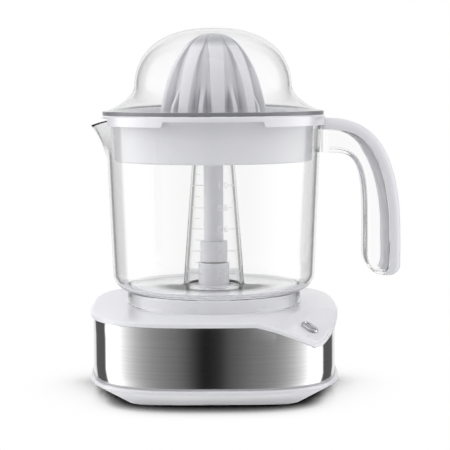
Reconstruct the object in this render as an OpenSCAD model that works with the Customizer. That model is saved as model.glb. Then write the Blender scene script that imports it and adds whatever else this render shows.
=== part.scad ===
// Citrus press juicer: a motor base wrapped in a steel band, a clear jug that
// stands over the drive boss, a strainer with its fluted reamer, and a clear
// dust cover. The drive axis is Z, the table is Z = 0, the handle points to
// +X, the spout to -X and the front is -Y. All lengths are millimetres.

/* [Base] */
// Width of the top cover
base_w = 164; // [160:1:176]
// Depth of the top cover
base_d = 178.4; // [172:1:190]
// Squareness of the base outline (2 is an ellipse)
base_power = 3.26; // [3:0.02:3.6]
// Height of the cover's top face above the table
base_h = 61; // [60:1:70]
// Wall of the top cover
cover_wall = 2.2; // [1.8:0.1:2.4]
// Height of the cover's lip, seen from the side
lip_h = 3.2; // [3:0.1:4]
// How far the lip stands out from the band
lip_out = 1.7; // [1.4:0.1:2.4]
// Height of the round plinth that locates the jug
plinth_h = 9.5; // [8:0.5:12]
// Height of the drive boss above the plinth
boss_h = 17.9; // [17:0.1:20]

/* [Cover tongue] */
// Compass direction of the tongue that droops over the band
tongue_az = -47.5; // [-50:0.5:-42]
// How far the tongue droops below the lip
tongue_drop = 17.4; // [12:0.2:18]
// Half the angle that the tongue spans
tongue_span = 27; // [22:1:30]

/* [Steel band] */
// Thickness of the stainless strip
band_t = 0.8; // [0.5:0.1:1]

/* [Base pan] */
// Height of the ledge that carries the band
ledge_z = 18; // [16:0.5:20]
// Height of the pan's visible edge below the ledge
edge_h = 2.2; // [1.6:0.1:3]
// How far the pan's edge stands out from the band
edge_out = 1.9; // [1:0.1:2.4]
// Wall of the pan
pan_wall = 2.6; // [2.2:0.1:3]
// Width of the flat footprint
footprint_w = 116.6; // [110:1:122]
// Depth of the flat footprint
footprint_d = 104.8; // [102:1:112]
// Squareness of the footprint
footprint_power = 7; // [4:0.2:9]
// Height of the pan's underside above the table
under_z = 1.5; // [1.2:0.1:1.7]
// Radius of each rubber foot
foot_r = 7; // [6:0.5:8]

/* [Jug] */
// Radius of the jug's foot skirt
skirt_r = 58.4; // [57:0.2:60]
// Radius of the jug just above its bottom corner
belly_r = 68; // [66:0.5:70]
// Radius of the jug at its rim
rim_r = 72.2; // [71:0.2:73]
// Height of the rim above the table
rim_z = 185.4; // [180:1:195]
// Wall of the jug
jug_wall = 2.5; // [2:0.1:3]
// Outer radius of the central tube at its foot
tube_foot_r = 19.3; // [18:0.1:21]
// Outer radius of the central tube at its top
tube_top_r = 13.5; // [13.2:0.1:15]
// How far the tip of the spout lies from the drive axis
spout_reach = 84; // [81:0.5:88]
// Height of the spout below its tip
spout_h = 26; // [20:1:32]

/* [Handle] */
// How far the handle reaches from the drive axis
handle_reach = 125.2; // [120:1:132]
// Height of the handle's free lower end above the table
handle_low_z = 80.4; // [74:1:88]
// Width of the handle across the jug
handle_w = 24; // [20:1:28]
// Thickness of the handle's opaque spine
spine_t = 7.6; // [6:0.2:9]
// Wall of the handle's clear channel
channel_wall = 3; // [2.4:0.1:3.6]

/* [Strainer] */
// Outer radius of the strainer's basket at its bottom
basket_r = 66.2; // [63:0.2:66.4]
// Depth of the basket below the jug's rim
basket_h = 28; // [24:0.5:29]
// Outer radius of the strainer's flange
flange_r = 75; // [74.5:0.1:77]
// Height of the skirt that hooks over the jug's rim
skirt_h = 4.5; // [3:0.1:6]
// Wall of the strainer
strainer_wall = 1.8; // [1.4:0.1:2.2]

/* [Reamer] */
// Height of the reamer from its base to its tip
reamer_h = 79.5; // [74:0.5:80]
// Radius of the reamer at its base
reamer_r = 37; // [34:0.5:40]
// Number of tall ribs, with a short rib between each two
reamer_ribs = 9; // [6:1:12]
// Depth of the flutes as a share of the radius
flute_depth = 0.2; // [0.1:0.01:0.22]
// Width of each tall rib's crest
rib_w = 8; // [5:0.5:10]
// Radius of the drive shaft
shaft_r = 6.6; // [6.2:0.1:7]

/* [Dust cover] */
// Radius of the dome where it meets its cove
dome_r = 52.8; // [50:0.2:56]
// Height of the dome above the strainer's flange
dome_h = 57.8; // [57.4:0.2:64]
// Outer radius of the dome's flange
dome_flange_r = 73.2; // [70:0.2:74]
// Wall of the dome
dome_wall = 2; // [1.6:0.1:2.4]

/* [Drive] */
// Tooth size: pitch diameter for each tooth
gear_module = 1; // [0.9:0.02:1]
// Teeth of both pinions
pinion_teeth = 12; // [10:1:13]
// Teeth of the idler's large gear
idler_teeth = 42; // [38:1:44]
// Teeth of the output gear
output_teeth = 60; // [56:1:62]
// Travel of the reamer when it is pressed
press_travel = 3; // [2:0.1:3]
// Radius of the push rod
rod_r = 2.5; // [2.2:0.1:2.6]

/* [Fits] */
// Running clearance between a shaft and its bore
run_gap = 0.05; // [0.03:0.01:0.08]
// Gap between parts that rest on each other or lift apart
seat_gap = 0.3; // [0.2:0.05:0.4]

/* [Hidden] */
$fn = 96;
e = 0.01;

// ---- heights of the base ------------------------------------------------
cover_under = base_h - cover_wall;
plinth_z = base_h + plinth_h;
boss_z = plinth_z + boss_h;
plinth_r = skirt_r - jug_wall - seat_gap;
plinth_wall = 2.5;
plinth_under = plinth_z - plinth_wall;
lip_z = base_h - lip_h;
lip_wall = lip_out - 0.15;
band_top = cover_under - seat_gap;
spigot_h = 16;

// ---- heights of the drive, hung from the cover ---------------------------
plate_z = base_h - 24;
plate_t = 3;
plate_r = plinth_r - 4.6;
plate_under = plate_z - plate_t;
tower_z = plate_z + 9.7;
hub_z = tower_z + seat_gap;
output_z = hub_z + 1;
output_w = 8;
idler_z = plate_z + 1.5;
idler_w = 6.5;
pinion_top = output_z + output_w + 1.5;
bush_z = base_h + 1;
bush_flange = 1.5;
bush_top = boss_z - 1.6;
bush_r = 8.5;
bush_flange_r = bush_r + 1.9;
hub_r = 7;
hub_head = 12;
head_z = boss_z + 5;
spring_pocket_r = 4.4;
spring_z = plinth_z + 3.5;

// ---- motor ---------------------------------------------------------------
// The motor fills the height between the gearbox plate and the pan's floor
motor_clear = 4.9;
coil_side = 3;
core_top = plate_under - 6;
core_z = under_z + pan_wall + motor_clear + coil_side;
core_h = core_top - core_z;
core_w = 46;
core_d = 62;
core_front = -13;
leg_w = 10;
pole_d = 27;
coil_t = 4;
magnet_r = 10.2;
air_gap = 0.8;
rotor_shaft_r = 1.5;
bracket_t = 2.5;

// ---- gear centres --------------------------------------------------------
idler_az = 248;
rotor_az = 140;
function pitch_r(teeth) = teeth * gear_module / 2;
idler_arm = pitch_r(output_teeth) + pitch_r(pinion_teeth);
rotor_arm = pitch_r(idler_teeth) + pitch_r(pinion_teeth);
function polar(r, az) = [r * cos(az), r * sin(az)];
idler_xy = polar(idler_arm, idler_az);
rotor_xy = idler_xy + polar(rotor_arm, rotor_az);
gear_pin_r = 2;

// ---- fasteners -----------------------------------------------------------
base_screw_xy = [for (x = [-44, 44], y = [-40, 40]) [x, y]];
plate_post_xy = [for (az = [15, -50, 95, 150]) polar(plate_r - 5, az)];
core_screw_xy = [
    for (x = [-1, 1], y = [core_front + 4, core_front + core_d - leg_w / 2])
        rotor_xy + [x * (core_w - leg_w) / 2, y]
];
joint_z = 30;
screw_r = 1.5;
screw_bite = 10;

// ---- switch --------------------------------------------------------------
switch_w = 6.4;
switch_l = 20;
switch_h = 10;
rod_tip = plate_under - 2.7;
button_top = rod_tip - seat_gap;
switch_top = button_top - press_travel - 0.2;
switch_y = -6;
button_low = switch_top - 3.4;
peg_y = [-3.6, 11];

// ---- coupling, shaft and reamer -------------------------------------------
coupling_z = boss_z + 0.8;
coupling_h = 13.5;
coupling_r = 9.25;
coupling_top = coupling_z + coupling_h;
socket_top = head_z + 0.5;
web_top = socket_top + 1.3;
shaft_z = web_top + press_travel + seat_gap;
rod_top = shaft_z - seat_gap;
key_w = 2;
key_d = 1.2;

// ---- jug, strainer, dome ---------------------------------------------------
skirt_z = base_h + seat_gap;
floor_z = plinth_z + seat_gap;
belly_z = floor_z + 11.7;
tube_top_z = rim_z - 30.6;
flange_z = rim_z + seat_gap;
flange_t = 2;
flange_top = flange_z + flange_t;
basket_z = rim_z - basket_h;
dome_z = flange_top + seat_gap;
dome_top = flange_top + dome_h;
reamer_top = dome_top - dome_wall - 0.5;
reamer_z = reamer_top - reamer_h;
collar_r = 10;
collar_top = reamer_z + 12;
shaft_hex = 11;

// =========================================================================
// Outlines
// =========================================================================

// Number of points round the base
ring_n = 72;

// Radius of a superellipse in the direction az
function edge_r(a, b, power, az) =
    pow(pow(abs(cos(az)) / a, power) + pow(abs(sin(az)) / b, power), -1 / power);

// Point of a superellipse's first quarter, from [a, 0] at t = 0 to [0, b]
function quarter(a, b, power, t) =
    [a * pow(cos(t), 2 / power), b * pow(sin(t), 2 / power)];

// Droop of the cover's edge below the lip in the direction az
function droop(az) =
    let (d = abs(az > 180 ? az - 360 - tongue_az : az - tongue_az),
         soft = sqrt(d * d + 6))
    soft < tongue_span ? tongue_drop * pow(1 - soft / tongue_span, 1.3) : 0;

// The slope of the tongue starts at the plinth and steepens outwards
slope_power = 1.8;
function base_edge(az, inset = 0) =
    edge_r(base_w / 2 - inset, base_d / 2 - inset, base_power, az);
function slope_share(r, az) =
    pow(max(0, (r - plinth_r) / (base_edge(az) - plinth_r)), slope_power);
function cover_height(r, az) = base_h - droop(az) * slope_share(r, az);

function ring_az(i) = i * 360 / ring_n;
function base_ring(inset, z) =
    [for (i = [0:ring_n - 1]) let (az = ring_az(i), r = base_edge(az, inset))
        [r * cos(az), r * sin(az), z]];
function drooped_ring(inset, z) =
    [for (p = base_ring(inset, z), d = [droop(atan2(p.y, p.x))])
        [p.x, p.y, p.z - d]];

// Closed skin through rings of points; wrap joins the last ring to the first
module loft(rings, wrap = false) {
    k = len(rings[0]);
    m = len(rings);
    points = [for (r = rings) each r];
    sides = [
        for (i = [0:(wrap ? m - 1 : m - 2)], j = [0:k - 1])
            let (a = i * k + j, b = i * k + (j + 1) % k,
                 c = ((i + 1) % m) * k + (j + 1) % k, d = ((i + 1) % m) * k + j)
            each [[a, c, b], [a, d, c]]
    ];
    ends = [[for (j = [0:k - 1]) j], [for (j = [k - 1:-1:0]) (m - 1) * k + j]];
    polyhedron(points, wrap ? sides : concat(sides, ends), convexity = 8);
}

module tube(r, bore, h) {
    difference() {
        cylinder(r = r, h = h);
        translate([0, 0, -e]) cylinder(r = bore, h = h + 2 * e);
    }
}

module at(places) {
    for (p = places) translate([p.x, p.y, 0]) children();
}

// =========================================================================
// Base
// =========================================================================

// Skin of the cover: crowned edge, drooping tongue and the lip's inner face
module cover_shell() {
    inner = plinth_r - plinth_wall / 2;
    function skin(f, z) =
        [for (i = [0:ring_n - 1])
            let (az = ring_az(i), r = inner + f * (base_edge(az) - 1.6 - inner))
            [r * cos(az), r * sin(az), z - base_h + cover_height(r, az)]];
    fractions = [0, 0.25, 0.5, 0.72, 0.88, 1];
    under = [for (f = fractions) skin(f, cover_under)];
    top = [for (i = [5:-1:0]) skin(fractions[i], base_h)];
    edge = [
        drooped_ring(lip_wall, cover_under - 0.1),
        drooped_ring(lip_wall, lip_z),
        drooped_ring(0.1, lip_z),
        drooped_ring(0, base_h - 2),
        drooped_ring(0.15, base_h - 1.1),
        drooped_ring(0.7, base_h - 0.35)
    ];
    loft(concat(under, edge, top), wrap = true);
}

module indicator_place() {
    az = tongue_az + 3;
    r = base_edge(az) - indicator_inset;
    rise = cover_height(r - 3, az) - cover_height(r + 3, az);
    translate([r * cos(az), r * sin(az), cover_height(r, az)])
        rotate([0, 0, az]) rotate([0, atan2(rise, 6), 0]) children();
}

// Slot with round ends, its long side along X
module stadium(length, width, h) {
    linear_extrude(h) {
        square([length - width, width], center = true);
        for (x = [-1, 1]) translate([x * (length - width) / 2, 0]) circle(width / 2);
    }
}

indicator_l = 12.4;
indicator_w = 7.8;
// How far in from the cover's edge the lamp sits
indicator_inset = 11.88;

module top_cover() {
    color("white") difference() {
        union() {
            cover_shell();
            // plinth with the drive boss, one revolved wall
            rotate_extrude() polygon([
                [bush_r, bush_z + bush_flange], [10.5, bush_z + bush_flange],
                [10.5, plinth_under], [plinth_r - plinth_wall, plinth_under],
                [plinth_r - plinth_wall, cover_under], [plinth_r, cover_under],
                [plinth_r, plinth_z - 1], [plinth_r - 1, plinth_z],
                [11.5, plinth_z], [10.5, plinth_z + 1], [10.5, boss_z - 0.6],
                [9.9, boss_z], [hub_r + 0.5, boss_z], [hub_r + 0.5, bush_top],
                [bush_r, bush_top]
            ]);
            // posts for the base screws
            at(base_screw_xy) translate([0, 0, joint_z])
                cylinder(r = 4.5, h = cover_under - joint_z + 1);
            // posts for the gearbox plate and the idler pin's upper seat
            at(plate_post_xy) translate([0, 0, plate_z])
                cylinder(r = 4, h = plinth_under - plate_z + 1);
            at([idler_xy]) translate([0, 0, pinion_top + 0.5])
                cylinder(r = 5, h = plinth_under - pinion_top + 0.5);
        }
        at(base_screw_xy) translate([0, 0, joint_z - e])
            cylinder(r = screw_r, h = 14);
        at(plate_post_xy) translate([0, 0, plate_z - e])
            cylinder(r = screw_r, h = 12);
        at([idler_xy]) translate([0, 0, pinion_top + 0.5 - e])
            cylinder(r = gear_pin_r + 0.02, h = 8);
        // flat seat for the bezel, and the hole for its skirt
        indicator_place() {
            translate([0, 0, 0.05]) stadium(indicator_l + 0.4, indicator_w + 0.4, 3);
            translate([0, 0, -6]) stadium(indicator_l - 2, indicator_w - 2, 12);
        }
    }
}

module steel_band() {
    outer = lip_out;
    inner = lip_out + band_t;
    gland_y = base_d / 2;
    color("silver") difference() {
        loft([
            base_ring(outer, ledge_z), drooped_ring(outer, band_top),
            drooped_ring(inner, band_top), base_ring(inner, ledge_z)
        ], wrap = true);
        translate([0, gland_y + 5, gland_z]) rotate([90, 0, 0])
            cylinder(r = gland_r, h = 20);
    }
}

gland_z = ledge_z + 8;
gland_r = 5;

module base_pan() {
    foot_ring = function (inset, z)
        [for (i = [0:ring_n - 1]) let (az = ring_az(i),
            w = footprint_w / 2 - inset, d = footprint_d / 2 - inset,
            r = 0.92 * edge_r(w, d, footprint_power, az) + 0.08 * edge_r(w, d, 2.4, az))
            [r * cos(az), r * sin(az), z]];
    band_back = lip_out + band_t + 0.15;
    spigot_wall = 2;
    floor_top = under_z + pan_wall;
    color("white") difference() {
        union() {
            loft([
                foot_ring(0, under_z),
                base_ring(lip_out - edge_out + 0.3, ledge_z - edge_h),
                base_ring(lip_out - edge_out, ledge_z - edge_h + 0.5),
                base_ring(lip_out - edge_out, ledge_z - 0.5),
                base_ring(lip_out - edge_out + 0.5, ledge_z),
                base_ring(band_back, ledge_z),
                base_ring(band_back, ledge_z + spigot_h),
                base_ring(band_back + spigot_wall, ledge_z + spigot_h),
                base_ring(band_back + spigot_wall, ledge_z - 1.2),
                foot_ring(2.2, floor_top)
            ]);
            at(base_screw_xy) translate([0, 0, under_z + 1])
                cylinder(r = foot_r + 1.6, h = 8);
            at(base_screw_xy) translate([0, 0, under_z + 1])
                cylinder(r = 4.5, h = joint_z - seat_gap - under_z - 1);
        }
        at(base_screw_xy) translate([0, 0, -e]) {
            cylinder(r = foot_r + 0.2, h = under_z + 1.5 + e);
            cylinder(r = 3.4, h = under_z + 4.5 + e);
            cylinder(r = screw_r + 0.3, h = joint_z + 1);
        }
        // cooling slots under the motor
        for (i = [-2:2]) translate([rotor_xy.x + i * 6, 0, 0])
            rotate([0, 0, 90]) stadium(30, 2.2, 8);
        // finger notch under the front edge
        translate([0, -footprint_d / 2 - 3, under_z - e]) rotate([-90, 0, 0])
            linear_extrude(9) polygon([[-6.5, 0], [6.5, 0], [4.5, -2], [-4.5, -2]]);
        translate([0, base_d / 2 + 5, gland_z]) rotate([90, 0, 0])
            cylinder(r = gland_r, h = 20);
    }
}

module feet() {
    color("dimgray") at(base_screw_xy) difference() {
        cylinder(r = foot_r, h = under_z + 1.5);
        translate([0, 0, -e]) cylinder(r = 4, h = under_z + 2);
        // round the tread's outer edge
        rotate_extrude() translate([foot_r - 0.6, -e]) polygon([
            [0, 0], [1, 0], [1, 1], [0.6, 0.6 + e]
        ]);
    }
}

module screw(head_r, head_h, shank_r, length) {
    difference() {
        union() {
            cylinder(r = head_r, h = head_h);
            cylinder(r = shank_r, h = length);
        }
        for (a = [0, 90]) rotate([0, 0, a]) translate([0, 0, head_h * 0.25 - e])
            cube([head_r * 1.2, 0.7, head_h * 0.5 + e], center = true);
    }
}

module base_screws() {
    color("gray") at(base_screw_xy) translate([0, 0, under_z + 2])
        screw(3, 2.5, screw_r, joint_z - under_z + screw_bite);
}

module indicator_bezel() {
    color("silver") indicator_place() difference() {
        union() {
            translate([0, 0, 0.1]) stadium(indicator_l, indicator_w, 0.9);
            translate([0, 0, -3.4]) stadium(indicator_l - 2.3, indicator_w - 2.3, 4);
        }
        translate([0, 0, -4]) stadium(indicator_l - 4, indicator_w - 4, 8);
    }
}

module indicator_lens() {
    color("lightcyan") indicator_place() {
        translate([0, 0, -2.4]) stadium(indicator_l - 4.2, indicator_w - 4.2, 3.6);
        translate([0, 0, 1.2 - e]) stadium(indicator_l - 5.6, indicator_w - 5.6, 0.6);
    }
}

module indicator_lamp() {
    color("khaki") indicator_place() {
        translate([0, 0, -8.5]) cylinder(r = 1.5, h = 5.8);
        translate([0, 0, -10]) cylinder(r = 1.9, h = 1.6);
    }
}

// =========================================================================
// Gear train
// =========================================================================

// Involute tooth flank: the point at radius r on a base circle of radius rb
function involute_az(rb, r) =
    r <= rb ? 0 : let (t = sqrt(r * r / (rb * rb) - 1)) t * 180 / PI - atan(t);

// Spur gear with involute teeth; a tooth's centre lies on the X axis
module spur(teeth, w) {
    pitch = pitch_r(teeth);
    rb = pitch * cos(20);
    tip = pitch + 0.9 * gear_module;
    root = pitch - 1.2 * gear_module;
    backlash = 0.12 * gear_module;
    half = 90 / teeth - backlash / pitch * 90 / PI + involute_az(rb, pitch);
    levels = [max(rb, root), pitch - 0.3 * gear_module, pitch + 0.3 * gear_module, tip];
    right = [for (r = levels) [r, -(half - involute_az(rb, r))]];
    left = [for (i = [3:-1:0]) [right[i][0], -right[i][1]]];
    tooth = concat([[root, right[0][1]]], right, left, [[root, left[3][1]]]);
    linear_extrude(w) polygon([
        for (i = [0:teeth - 1], p = tooth) polar(p[0], p[1] + i * 360 / teeth)
    ]);
}

module output_gear() {
    color("ivory") difference() {
        union() {
            translate([0, 0, output_z]) rotate([0, 0, idler_az]) difference() {
                spur(output_teeth, output_w);
                // web between the rim and the hub
                for (z = [-e, output_w / 2 + 1.2]) translate([0, 0, z])
                    tube(pitch_r(output_teeth) - 4.2, 13, output_w / 2 - 1.2 + e);
            }
            translate([0, 0, hub_z]) cylinder(r = 8.2, h = 2);
            translate([0, 0, hub_z]) cylinder(r = hub_r, h = boss_z + 0.3 - hub_z);
            translate([0, 0, output_z]) cylinder(r = 10, h = bush_z - seat_gap - output_z);
            translate([0, 0, boss_z])
                cylinder(r = hub_head / sqrt(3), h = head_z - boss_z, $fn = 6);
        }
        translate([0, 0, hub_z - e]) cylinder(r = rod_r + run_gap, h = head_z);
        translate([0, 0, spring_z]) cylinder(r = spring_pocket_r, h = head_z);
    }
}

module idler_gear() {
    color("beige") at([idler_xy]) difference() {
        union() {
            translate([0, 0, idler_z]) rotate([0, 0, rotor_az])
                spur(idler_teeth, idler_w);
            translate([0, 0, idler_z + 1]) rotate([0, 0, idler_az + 180 + 180 / pinion_teeth])
                spur(pinion_teeth, pinion_top - idler_z - 1);
        }
        translate([0, 0, idler_z - e])
            cylinder(r = gear_pin_r + run_gap, h = pinion_top);
        // recess that lightens the large gear
        translate([0, 0, idler_z - e]) tube(pitch_r(idler_teeth) - 4, 6, 2);
    }
}

module gear_pin() {
    color("silver") at([idler_xy]) translate([0, 0, plate_under])
        cylinder(r = gear_pin_r, h = pinion_top + 8 - plate_under);
}

module spindle_bush() {
    color("peru") difference() {
        union() {
            translate([0, 0, bush_z]) cylinder(r = bush_r, h = bush_top - bush_z);
            translate([0, 0, bush_z]) cylinder(r = bush_flange_r, h = bush_flange);
        }
        translate([0, 0, bush_z - e]) cylinder(r = hub_r + run_gap, h = boss_z);
    }
}

module gearbox_plate() {
    rod_hole = rod_r + 0.5;
    color("gainsboro") difference() {
        union() {
            translate([0, 0, plate_under]) linear_extrude(plate_t) {
                circle(plate_r);
                translate(rotor_xy + [-core_w / 2 - 2, core_front - 1])
                    square([core_w + 4, core_d + 2]);
            }
            translate([0, 0, plate_z - e]) cylinder(r = 9, h = tower_z - plate_z + e);
            at([idler_xy]) translate([0, 0, plate_z - e])
                cylinder(r = 4, h = idler_z - seat_gap - plate_z + e);
            at([rotor_xy]) translate([0, 0, plate_under - 3]) cylinder(r = 4, h = 4);
            at(core_screw_xy) translate([0, 0, core_top])
                cylinder(r = 3.8, h = plate_under - core_top + 1);
            // bracket and pegs that hold the switch
            translate([switch_w / 2 + 0.2, switch_y + 1, switch_top - switch_h])
                cube([2.6, switch_l - 2, plate_under - switch_top + switch_h + 1]);
            for (y = peg_y) translate([switch_w / 2 + 1, y, switch_top - 7])
                rotate([0, -90, 0]) cylinder(r = 1.2, h = switch_w + 1);
        }
        translate([0, 0, plate_under - e]) cylinder(r = rod_hole, h = plate_t + 1);
        translate([0, 0, plate_z]) cylinder(r = 5, h = 20);
        at([idler_xy]) translate([0, 0, plate_under - e]) cylinder(r = gear_pin_r + 0.02, h = 9);
        at([rotor_xy]) translate([0, 0, plate_under - 3 - e])
            cylinder(r = rotor_shaft_r + run_gap, h = 9);
        at(core_screw_xy) translate([0, 0, core_top - e])
            cylinder(r = screw_r, h = plate_z - core_top - 0.8);
        at(plate_post_xy) translate([0, 0, plate_under - e])
            cylinder(r = screw_r + 0.3, h = plate_t + 1);
    }
}

module plate_screws() {
    color("gray") at(plate_post_xy) translate([0, 0, plate_under - 2])
        screw(2.6, 2, screw_r, 13);
}

module push_rod() {
    color("silver") {
        translate([0, 0, rod_tip]) cylinder(r = rod_r, h = rod_top - rod_tip);
        translate([0, 0, hub_z - seat_gap - 1.5]) cylinder(r = 4.2, h = 1.5);
        translate([0, 0, head_z - 4.4]) cylinder(r = 4.2, h = 2);
    }
}

module return_spring() {
    wire = 0.4;
    coil_r = 3.4;
    turns = 6;
    steps = 14;
    low = spring_z + wire + 0.1;
    high = head_z - 4.4 - wire - 0.1;
    function centre(i) = let (s = i / (turns * steps))
        [coil_r * cos(i * 360 / steps), coil_r * sin(i * 360 / steps),
         low + (high - low) * s];
    color("silver") loft([
        for (i = [0:turns * steps]) let (c = centre(i), a = i * 360 / steps)
            [for (k = [0:5]) let (q = -k * 60)
                c + wire * [cos(q) * cos(a), cos(q) * sin(a), sin(q)]]
    ]);
}

// =========================================================================
// Motor
// =========================================================================

module rotor_shaft() {
    color("silver") at([rotor_xy]) translate([0, 0, core_z - 4.3])
        cylinder(r = rotor_shaft_r, h = idler_z + idler_w + 1 - core_z + 4.3);
}

module rotor_magnet() {
    color("dimgray") at([rotor_xy]) translate([0, 0, core_z + 0.3])
        tube(magnet_r, rotor_shaft_r, core_h - 0.6);
}

module rotor_pinion() {
    color("ivory") at([rotor_xy]) translate([0, 0, idler_z - 0.5]) difference() {
        rotate([0, 0, rotor_az + 180 + 180 / pinion_teeth])
            spur(pinion_teeth, idler_w + 1);
        translate([0, 0, -e]) cylinder(r = rotor_shaft_r, h = idler_w + 2);
    }
}

// U-shaped stack of laminations whose two legs end in the poles
module stator_core() {
    color("slategray") translate([rotor_xy.x, rotor_xy.y, core_z]) difference() {
        translate([-core_w / 2, core_front, 0]) cube([core_w, core_d, core_h]);
        translate([-core_w / 2 + leg_w, core_front + pole_d, -e])
            cube([core_w - 2 * leg_w, core_d - pole_d - leg_w, core_h + 2 * e]);
        translate([0, 0, -e]) cylinder(r = magnet_r + air_gap, h = core_h + 2 * e);
        translate([-1.5, core_front - 1, -e]) cube([3, pole_d + 2, core_h + 2 * e]);
        for (p = core_screw_xy) translate([p.x - rotor_xy.x, p.y - rotor_xy.y, -e])
            cylinder(r = screw_r + 0.2, h = core_h + 2 * e);
    }
}

module stator_coils() {
    length = core_d - pole_d - leg_w - 2;
    leg_x = core_w / 2 - leg_w / 2;
    color("chocolate") for (side = [-1, 1])
        translate([rotor_xy.x + side * leg_x, rotor_xy.y + core_front + pole_d + 1, core_z])
            difference() {
                translate([-leg_w / 2 - coil_t, 0, -coil_side])
                    cube([leg_w + 2 * coil_t, length, core_h + 2 * coil_side]);
                translate([-leg_w / 2 - 0.1, -1, -0.1])
                    cube([leg_w + 0.2, length + 2, core_h + 0.2]);
            }
}

module motor_bracket() {
    low = core_z - bracket_t - 0.1;
    color("silver") difference() {
        translate([rotor_xy.x, rotor_xy.y, low]) {
            translate([-core_w / 2, core_front, 0]) cube([core_w, 24, bracket_t]);
            translate([0, 0, -2.4]) cylinder(r = 4, h = 4);
        }
        at([rotor_xy]) translate([0, 0, core_z - 4.4])
            cylinder(r = rotor_shaft_r + run_gap, h = 8);
        at([core_screw_xy[0], core_screw_xy[2]]) translate([0, 0, low - e])
            cylinder(r = screw_r + 0.2, h = bracket_t + 1);
    }
}

module motor_screws() {
    low = core_z - bracket_t - 0.1;
    color("gray") {
        at([core_screw_xy[0], core_screw_xy[2]]) translate([0, 0, low - 1.8])
            screw(2.6, 1.8, screw_r, plate_z - low - 1);
        at([core_screw_xy[1], core_screw_xy[3]]) translate([0, 0, core_z - 1.8])
            screw(2.6, 1.8, screw_r, plate_z - core_z - 1);
    }
}

module micro_switch() {
    color("black") difference() {
        translate([-switch_w / 2, switch_y, switch_top - switch_h])
            cube([switch_w, switch_l, switch_h]);
        for (y = peg_y) translate([-switch_w / 2 - 1, y, switch_top - 7])
            rotate([0, 90, 0]) cylinder(r = 1.2 + run_gap, h = switch_w + 2);
        translate([0, 0, button_low - press_travel - seat_gap])
            cylinder(r = 1.6, h = switch_top - button_low + press_travel + 1);
    }
    // terminals
    color("gold") for (y = [-3, 5, 13])
        translate([-0.3, y - 1.2, switch_top - switch_h - 3.4]) cube([0.6, 2.4, 3.5]);
}

module switch_button() {
    color("red") translate([0, 0, button_low]) cylinder(r = 1.5, h = button_top - button_low);
}

module cord_gland() {
    seat = base_d / 2 - lip_out;
    color("dimgray") translate([0, seat + 0.15, gland_z]) rotate([90, 0, 0]) difference() {
        union() {
            translate([0, 0, -2]) cylinder(r = 7.5, h = 2);
            cylinder(r = gland_r - 0.1, h = 4.5);
            translate([0, 0, 4]) cylinder(r = gland_r - 0.6, h = 3);
        }
        translate([0, 0, -3]) cylinder(r = 3.3, h = 12);
    }
}

// =========================================================================
// Jug and handle
// =========================================================================

// Half profile of the jug's outer wall, from the skirt's foot to the rim
function jug_profile(in) = concat(
    [[skirt_r - in, skirt_z], [skirt_r - in, floor_z - 1]],
    [for (t = [-75:15:0])
        [belly_r - 12 + (12 - in) * cos(t), belly_z + (12 - in) * sin(t)]],
    [[rim_r - in, rim_z]]
);

module spout_form(in) {
    low = rim_z - spout_h;
    hull() {
        translate([-(spout_reach - 3.4), 0, rim_z - 5.5])
            cylinder(r = 3.4 - in, h = 2.7 + in, $fn = 32);
        translate([-(rim_r - 4), 0, low + in])
            cylinder(r = 3 - in / 2, h = spout_h - 3, $fn = 32);
        for (side = [-1, 1]) rotate([0, 0, 180 + side * 19])
            translate([rim_r - 4, 0, rim_z - 14 + in])
                cylinder(r = 3 - in / 2, h = 13.6, $fn = 32);
        for (side = [-1, 1]) rotate([0, 0, 180 + side * 8])
            translate([rim_r - 5, 0, rim_z - 2])
                cylinder(r = 3 - in / 2, h = 2 + in, $fn = 32);
    }
}

module jug() {
    tube_z = floor_z + jug_wall;
    outer = jug_profile(0);
    inner = jug_profile(jug_wall);
    n = len(outer);
    root_w = handle_w - 5;
    color([0.8, 0.85, 0.85, 0.4]) difference() {
        union() {
            rotate_extrude() polygon(concat([[0, skirt_z]], outer, [[0, rim_z]]));
            spout_form(0);
            // flat pad that the handle is bonded to
            translate([belly_r, -root_w / 2, handle_root_low + 1])
                cube([root_x - belly_r, root_w, handle_root_top - handle_root_low - 2]);
        }
        // inside of the jug, round the central tube
        difference() {
            union() {
                rotate_extrude() polygon(concat(
                    [[0, tube_z], [belly_r - 12, tube_z]],
                    [for (i = [3:n - 2]) inner[i]],
                    [[rim_r - jug_wall, rim_z + 1], [0, rim_z + 1]]
                ));
                spout_form(2.2);
            }
            rotate_extrude() polygon([
                [0, tube_z - 1], [tube_foot_r + 3, tube_z - 1],
                [tube_foot_r + 1, tube_z + 0.4], [tube_foot_r, tube_z + 3],
                [tube_top_r, tube_top_z], [0, tube_top_z]
            ]);
        }
        // bore of the central tube, open into the skirt below
        rotate_extrude() polygon([
            [0, skirt_z - 1], [tube_foot_r - 2.2, skirt_z - 1],
            [tube_foot_r - 2.2, tube_z + 3], [tube_top_r - 2.2, tube_top_z - 3],
            [tube_top_r - 2.2, tube_top_z + 1], [0, tube_top_z + 1]
        ]);
        // inside of the foot skirt
        translate([0, 0, skirt_z - 1])
            cylinder(r = skirt_r - jug_wall, h = floor_z - skirt_z + 1);
    }
}

root_x = rim_r + 0.6;
handle_root_top = rim_z + seat_gap - 0.2;
handle_root_low = rim_z - 23;
bend_z = handle_low_z + 18.7;
grip_x = handle_reach - 25;

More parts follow.
